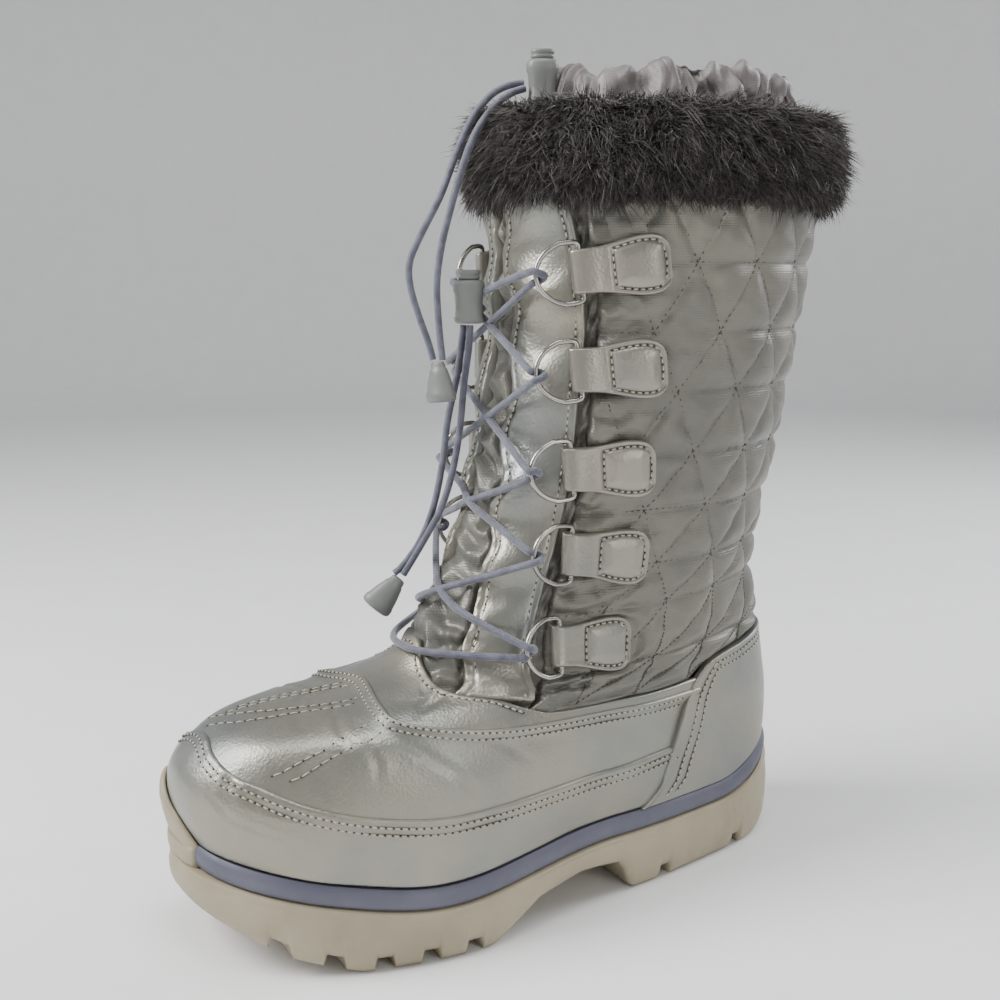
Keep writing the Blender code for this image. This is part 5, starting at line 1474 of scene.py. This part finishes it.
def build_cuff():
    """Thin nylon scrunched on a drawstring: deep rounded gathers under a puffed hem."""
    columns = 460
    degrees = np.arange(columns) * 360.0 / columns
    angle = np.radians(degrees)
    phase = CUFF_GATHERS * angle + 1.1 * np.sin(2.0 * angle + 0.7) + 0.8 * np.sin(3.0 * angle + 2.1)
    tall = 0.5 + 0.5 * np.sin(4.0 * angle + 0.4) * np.cos(7.0 * angle)
    front = 0.25 + 0.75 * np.cos(angle / 2.0) ** 4
    rows = []
    ts = np.linspace(0.0, len(CUFF_SECTION) - 1.0, 44)
    at = range(len(CUFF_SECTION))
    up, pull, swell = (np.interp(ts, at, column) for column in zip(*CUFF_SECTION))
    for height, drawn, round_out in zip(up, pull, swell):
        lean = 60.0 * height
        puffs = np.abs(np.sin(phase * 0.5 + 0.5 * np.sin(4.0 * angle + lean))) ** 0.75
        second = np.abs(np.sin(0.84 * phase + 1.9 * np.sin(3.0 * angle + 0.6 * lean) + 0.8)) ** 0.8
        puffs = 0.62 * puffs + 0.38 * second
        fine = np.abs(np.sin(2.1 * phase + 2.6 * np.sin(5.0 * angle) + lean))
        above = ease((height - 0.012) / 0.02)
        offset = -0.0082 - 0.0165 * drawn * front
        offset = offset + round_out * (0.0068 * (puffs - 0.5) + 0.0009 * (fine - 0.5))
        lift = above * (0.0046 * (puffs - 0.6) + 0.0030 * tall + 0.0007 * (fine - 0.5))
        ring = ring_above_top(np.full(columns, height) + lift)
        turned = degrees + 1.0 * round_out * np.sin(phase * 2.0 + height * 300.0)
        rows.append(skin(ring, turned, offset))
    outer = np.array(rows)
    outer = outer + ripple(outer, 52, 0.010)[..., None] * 0.0004 * ease((outer[..., 2:] - 0.290) / 0.02)
    step = np.roll(outer, -1, axis=1) - np.roll(outer, 1, axis=1)
    inward = unit(np.cross(np.gradient(outer, axis=0), step))
    middle = outer.mean(axis=1, keepdims=True)
    if float(((middle - outer) * inward)[0].sum()) < 0.0:
        inward = -inward
    crumple = 0.0030 * (0.30 - np.abs(ripple(outer, 54, 0.020))) + 0.0009 * ripple(outer, 55, 0.011)
    outer = outer - inward * (crumple * ease((outer[..., 2] - 0.286) / 0.014))[..., None]
    inner = outer + inward * 0.0005
    made = shell("cuff_gathers", outer, inner, CUFF_NYLON, ("snow_cuff",), wrap=True)


# Sole

def outline(degrees, out):
    """The feather line seen from above, moved outward."""
    place = base_point(0.0, degrees)
    round_way = base_point(0.0, degrees + 1.0) - base_point(0.0, degrees - 1.0)
    normal = unit(np.stack([round_way[:, 1], -round_way[:, 0]], -1))
    return place[:, :2] + normal * np.asarray(out, float)[..., None]


def sole_angles():
    """Angles close together everywhere and doubled at each side of a groove."""
    front, back = ROWS[0, 0], ROWS[0, 2]
    angles = list(np.linspace(0.6, 179.4, 150))
    half = GROOVE_WIDTH / 2.0
    for centre in GROOVES:
        y = HEEL_REACH - centre * FOOT_LENGTH
        for step in (-half - 0.0012, -half - 0.0005, -half, half, half + 0.0005, half + 0.0012):
            u = (y + step - front) / (back - front)
            angles.append(math.degrees(math.acos(1.0 - 2.0 * u)))
    angles = sorted(angles)
    return np.array([0.0] + angles + [180.0] + [360.0 - a for a in reversed(angles)])


def in_groove(y):
    """Depth of the tread's grooves along the sole."""
    depth = np.zeros_like(y)
    for centre in GROOVES:
        middle = HEEL_REACH - centre * FOOT_LENGTH
        gap = np.abs(y - middle) - GROOVE_WIDTH / 2.0
        depth = np.maximum(depth, TREAD_DEPTH * ease(1.0 - (gap - 0.0001) / 0.0010))
    return depth


def slab(name, loops, finish, nodes):
    """A closed layer of the sole, with flat rungs across its underside and top."""
    count = len(loops[0])
    half = count // 2
    faces = grid_faces(len(loops), count, 0, True, True)
    for first, flip in ((0, False), ((len(loops) - 1) * count, True)):
        rungs = [(first, first + 1, first + count - 1)]
        rungs += [(first + k, first + k + 1, first + count - k - 1, first + count - k)
                  for k in range(1, half - 1)]
        rungs.append((first + half - 1, first + half, first + half + 1))
        faces += [tuple(reversed(face)) for face in rungs] if flip else rungs
    made = finish_mesh(name, np.concatenate(loops), faces, finish, "boot", nodes)
    shape = bmesh.new()
    shape.from_mesh(made.data)
    bmesh.ops.recalc_face_normals(shape, faces=shape.faces[:])
    shape.to_mesh(made.data)
    shape.free()
    sharpen(made)


SHARP_ANGLE = 38.0


def sharpen(made):
    """Keep sharp edges crisp."""
    mesh = made.data
    shape = bmesh.new()
    shape.from_mesh(mesh)
    for edge in shape.edges:
        sharp = len(edge.link_faces) == 2 and edge.calc_face_angle(0.0) > math.radians(SHARP_ANGLE)
        edge.smooth = not sharp
    shape.to_mesh(mesh)
    shape.free()


def build_sole():
    """Outsole with its tread, bumper at the toe, and midsole."""
    degrees = sole_angles()
    front = np.abs((degrees + 195.0) % 360.0 - 180.0)
    toe = 0.0035 * ease(1.0 - front / 36.0)
    y = base_point(0.0, degrees)[:, 1]
    top = feather_height(y) - MIDSOLE_HEIGHT - 3.0 * GAP
    bottom = tread_height(outline(degrees, 0.002 + toe)[:, 1])
    tread = np.minimum(bottom + in_groove(y), top - 0.004)
    loops = []
    profile = ((0.0006, 0.0), (0.0016, 0.015), (0.0026, 0.06), (0.0036, 0.16), (0.0042, 0.30), (0.0045, 0.50),
               (0.0045, 0.66), (0.0041, 0.80), (0.0038, 0.86), (0.0040, 0.92), (0.0036, 0.98), (0.0028, 1.0))
    for out, share in profile:
        loops.append(np.column_stack([outline(degrees, out + toe), tread + (top - tread) * share]))
    slab("outsole_tread", loops, OUTSOLE, ("outsole",))
    build_bumper()
    open_side = ease((front - 15.0) / 4.0)
    top = feather_height(y) - 2.0 * GAP
    loops = []
    for out, drop in ((0.0016, 1.0), (0.0024, 0.95), (0.0030, 0.80), (0.0033, 0.55), (0.0031, 0.30),
                      (0.0025, 0.10), (0.0016, 0.0)):
        loops.append(np.column_stack([outline(degrees, 0.0004 + (out - 0.0004) * open_side),
                                      top - drop * MIDSOLE_HEIGHT]))
    slab("midsole_strip", loops, MIDSOLE, ("midsole",))


def build_bumper():
    """Rubber that rises from the outsole in front of the toe."""
    count = 100
    turn = np.linspace(-90.0, 90.0, count)
    degrees = -15.0 + turn / 90.0 * 20.0
    arch = np.maximum(np.cos(np.radians(turn)), 0.0) ** 0.75
    side = np.maximum(np.cos(np.radians(turn)), 0.0) ** 0.4
    clear = 0.0019
    rows_in, rows_out = [], []
    y = base_point(0.0, degrees)[:, 1]
    for drop, out in ((-0.95, 0.0040), (-0.75, 0.0042), (-0.65, 0.0056), (-0.60, 0.0072), (-0.45, 0.0077),
                      (-0.25, 0.0077), (-0.08, 0.0073)):
        height = feather_height(y) + drop * (MIDSOLE_HEIGHT + 0.006)
        rows_in.append(np.column_stack([outline(degrees, np.full(count, clear)), height]))
        rows_out.append(np.column_stack([outline(degrees, clear + 0.0004 + (out - clear) * side), height]))
    for share in (0.12, 0.3, 0.5, 0.68, 0.82, 0.92, 0.98, 1.0):
        ring = share * 1.45 * arch
        thick = (0.0012 + 0.0042 * (1.08 - share)) * side + 0.0004
        thick = thick * rolled(np.full(count, (1.0 - share) * 0.03 + 0.0002), 0.0016)
        rows_in.append(skin(ring, degrees, np.full(count, clear)))
        rows_out.append(skin(ring, degrees, clear + thick))
    shell("toe_bumper", np.array(rows_out), np.array(rows_in), OUTSOLE)


# Stage

def look_at(made, target):
    """Turn a light towards a place."""
    x, y, z = np.asarray(target, float) - np.asarray(made.location, float)
    rise = math.atan2(z, math.hypot(x, y))
    made.rotation_euler = (math.pi / 2.0 + rise, 0.0, math.atan2(y, x) - math.pi / 2.0)


def area_light(name, place, size, power, colour):
    light = bpy.data.lights.new(name, "AREA")
    light.shape = "RECTANGLE"
    light.size, light.size_y = size
    light.energy = power
    light.color = colour
    made = bpy.data.objects.new(name, light)
    bpy.context.scene.collection.objects.link(made)
    made.location = place
    look_at(made, BOOT_MIDDLE)


def build_stage():
    """Pale floor that sweeps up to a backdrop, the world and the lights."""
    floor_material = moulded("pale_floor", (0.86, 0.86, 0.86), (0.84, 0.84, 0.84), 0.6, 8.0)
    mesh = bpy.data.meshes.new("floor")
    profile = [(0.001, 0.0), (FLOOR_RADIUS, 0.0)]
    for a in np.linspace(0.1, math.pi / 2.0, 12):
        profile.append((FLOOR_RADIUS + SWEEP_RADIUS * math.sin(a), SWEEP_RADIUS * (1.0 - math.cos(a))))
    profile.append((FLOOR_RADIUS + SWEEP_RADIUS, BACKDROP_HEIGHT))
    points = [(r * math.cos(a), r * math.sin(a), z) for r, z in profile for a in turns(FLOOR_SIDES)]
    faces = grid_faces(len(profile), FLOOR_SIDES, 0, True)
    mesh.from_pydata(points, [], faces + [tuple(range(FLOOR_SIDES))])
    mesh.shade_smooth()
    mesh.materials.append(floor_material)
    floor = bpy.data.objects.new("floor", mesh)
    bpy.context.scene.collection.objects.link(floor)
    build_world()
    for light in LIGHTS:
        area_light(*light)


def build_world():
    """Soft surroundings, bright above and dimmer near the horizon."""
    world = bpy.data.worlds.new("studio")
    world.use_nodes = True
    tree = world.node_tree
    place = tree.nodes.new("ShaderNodeTexCoord")
    split = tree.nodes.new("ShaderNodeSeparateXYZ")
    tree.links.new(place.outputs["Generated"], split.inputs["Vector"])
    colour = add_ramp(tree, add_range(tree, split.outputs["Z"], 0.0, 1.0, -0.05, 0.9),
                      ((0.0, (0.46, 0.47, 0.48)), (0.25, (0.30, 0.31, 0.33)), (1.0, (0.85, 0.87, 0.90))))
    tree.links.new(colour, tree.nodes["Background"].inputs["Color"])
    tree.nodes["Background"].inputs["Strength"].default_value = WORLD_STRENGTH
    bpy.context.scene.world = world


def build_camera():
    data = bpy.data.cameras.new("camera")
    data.sensor_fit = "HORIZONTAL"
    data.sensor_width = SENSOR_WIDTH
    data.lens = SENSOR_WIDTH * CAMERA_FOCUS
    data.clip_start = 0.01
    made = bpy.data.objects.new("camera", data)
    bpy.context.scene.collection.objects.link(made)
    made.location = CAMERA_PLACE
    made.rotation_euler = (math.radians(90.0 - CAMERA_FALL), 0.0, math.radians(CAMERA_AZIMUTH))
    bpy.context.scene.camera = made


def finish_node(name, finish):
    """Give a CAD node that stays in view a better material."""
    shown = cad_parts[name]
    for k in range(len(shown.material_slots)):
        shown.material_slots[k].material = finish


build_camera()
build_cords()
build_sole()
build_foot()
build_shaft()
build_tongue()
build_lacing()
build_fur()
build_cuff()
# the second finish is the painted shade in each needle hole between the threads
leather_seams.make("leather_stitches", THREAD, DARK_THREAD_AND_HOLE_SHADE, "leather")
tab_seams.make("tab_stitches", THREAD, DARK_THREAD_AND_HOLE_SHADE, "tab")
quilt_seams.make("quilt_stitches", DARK_THREAD_AND_HOLE_SHADE, DARK_THREAD_AND_HOLE_SHADE, "nylon")
finish_node("insole", LINING)
build_stage()
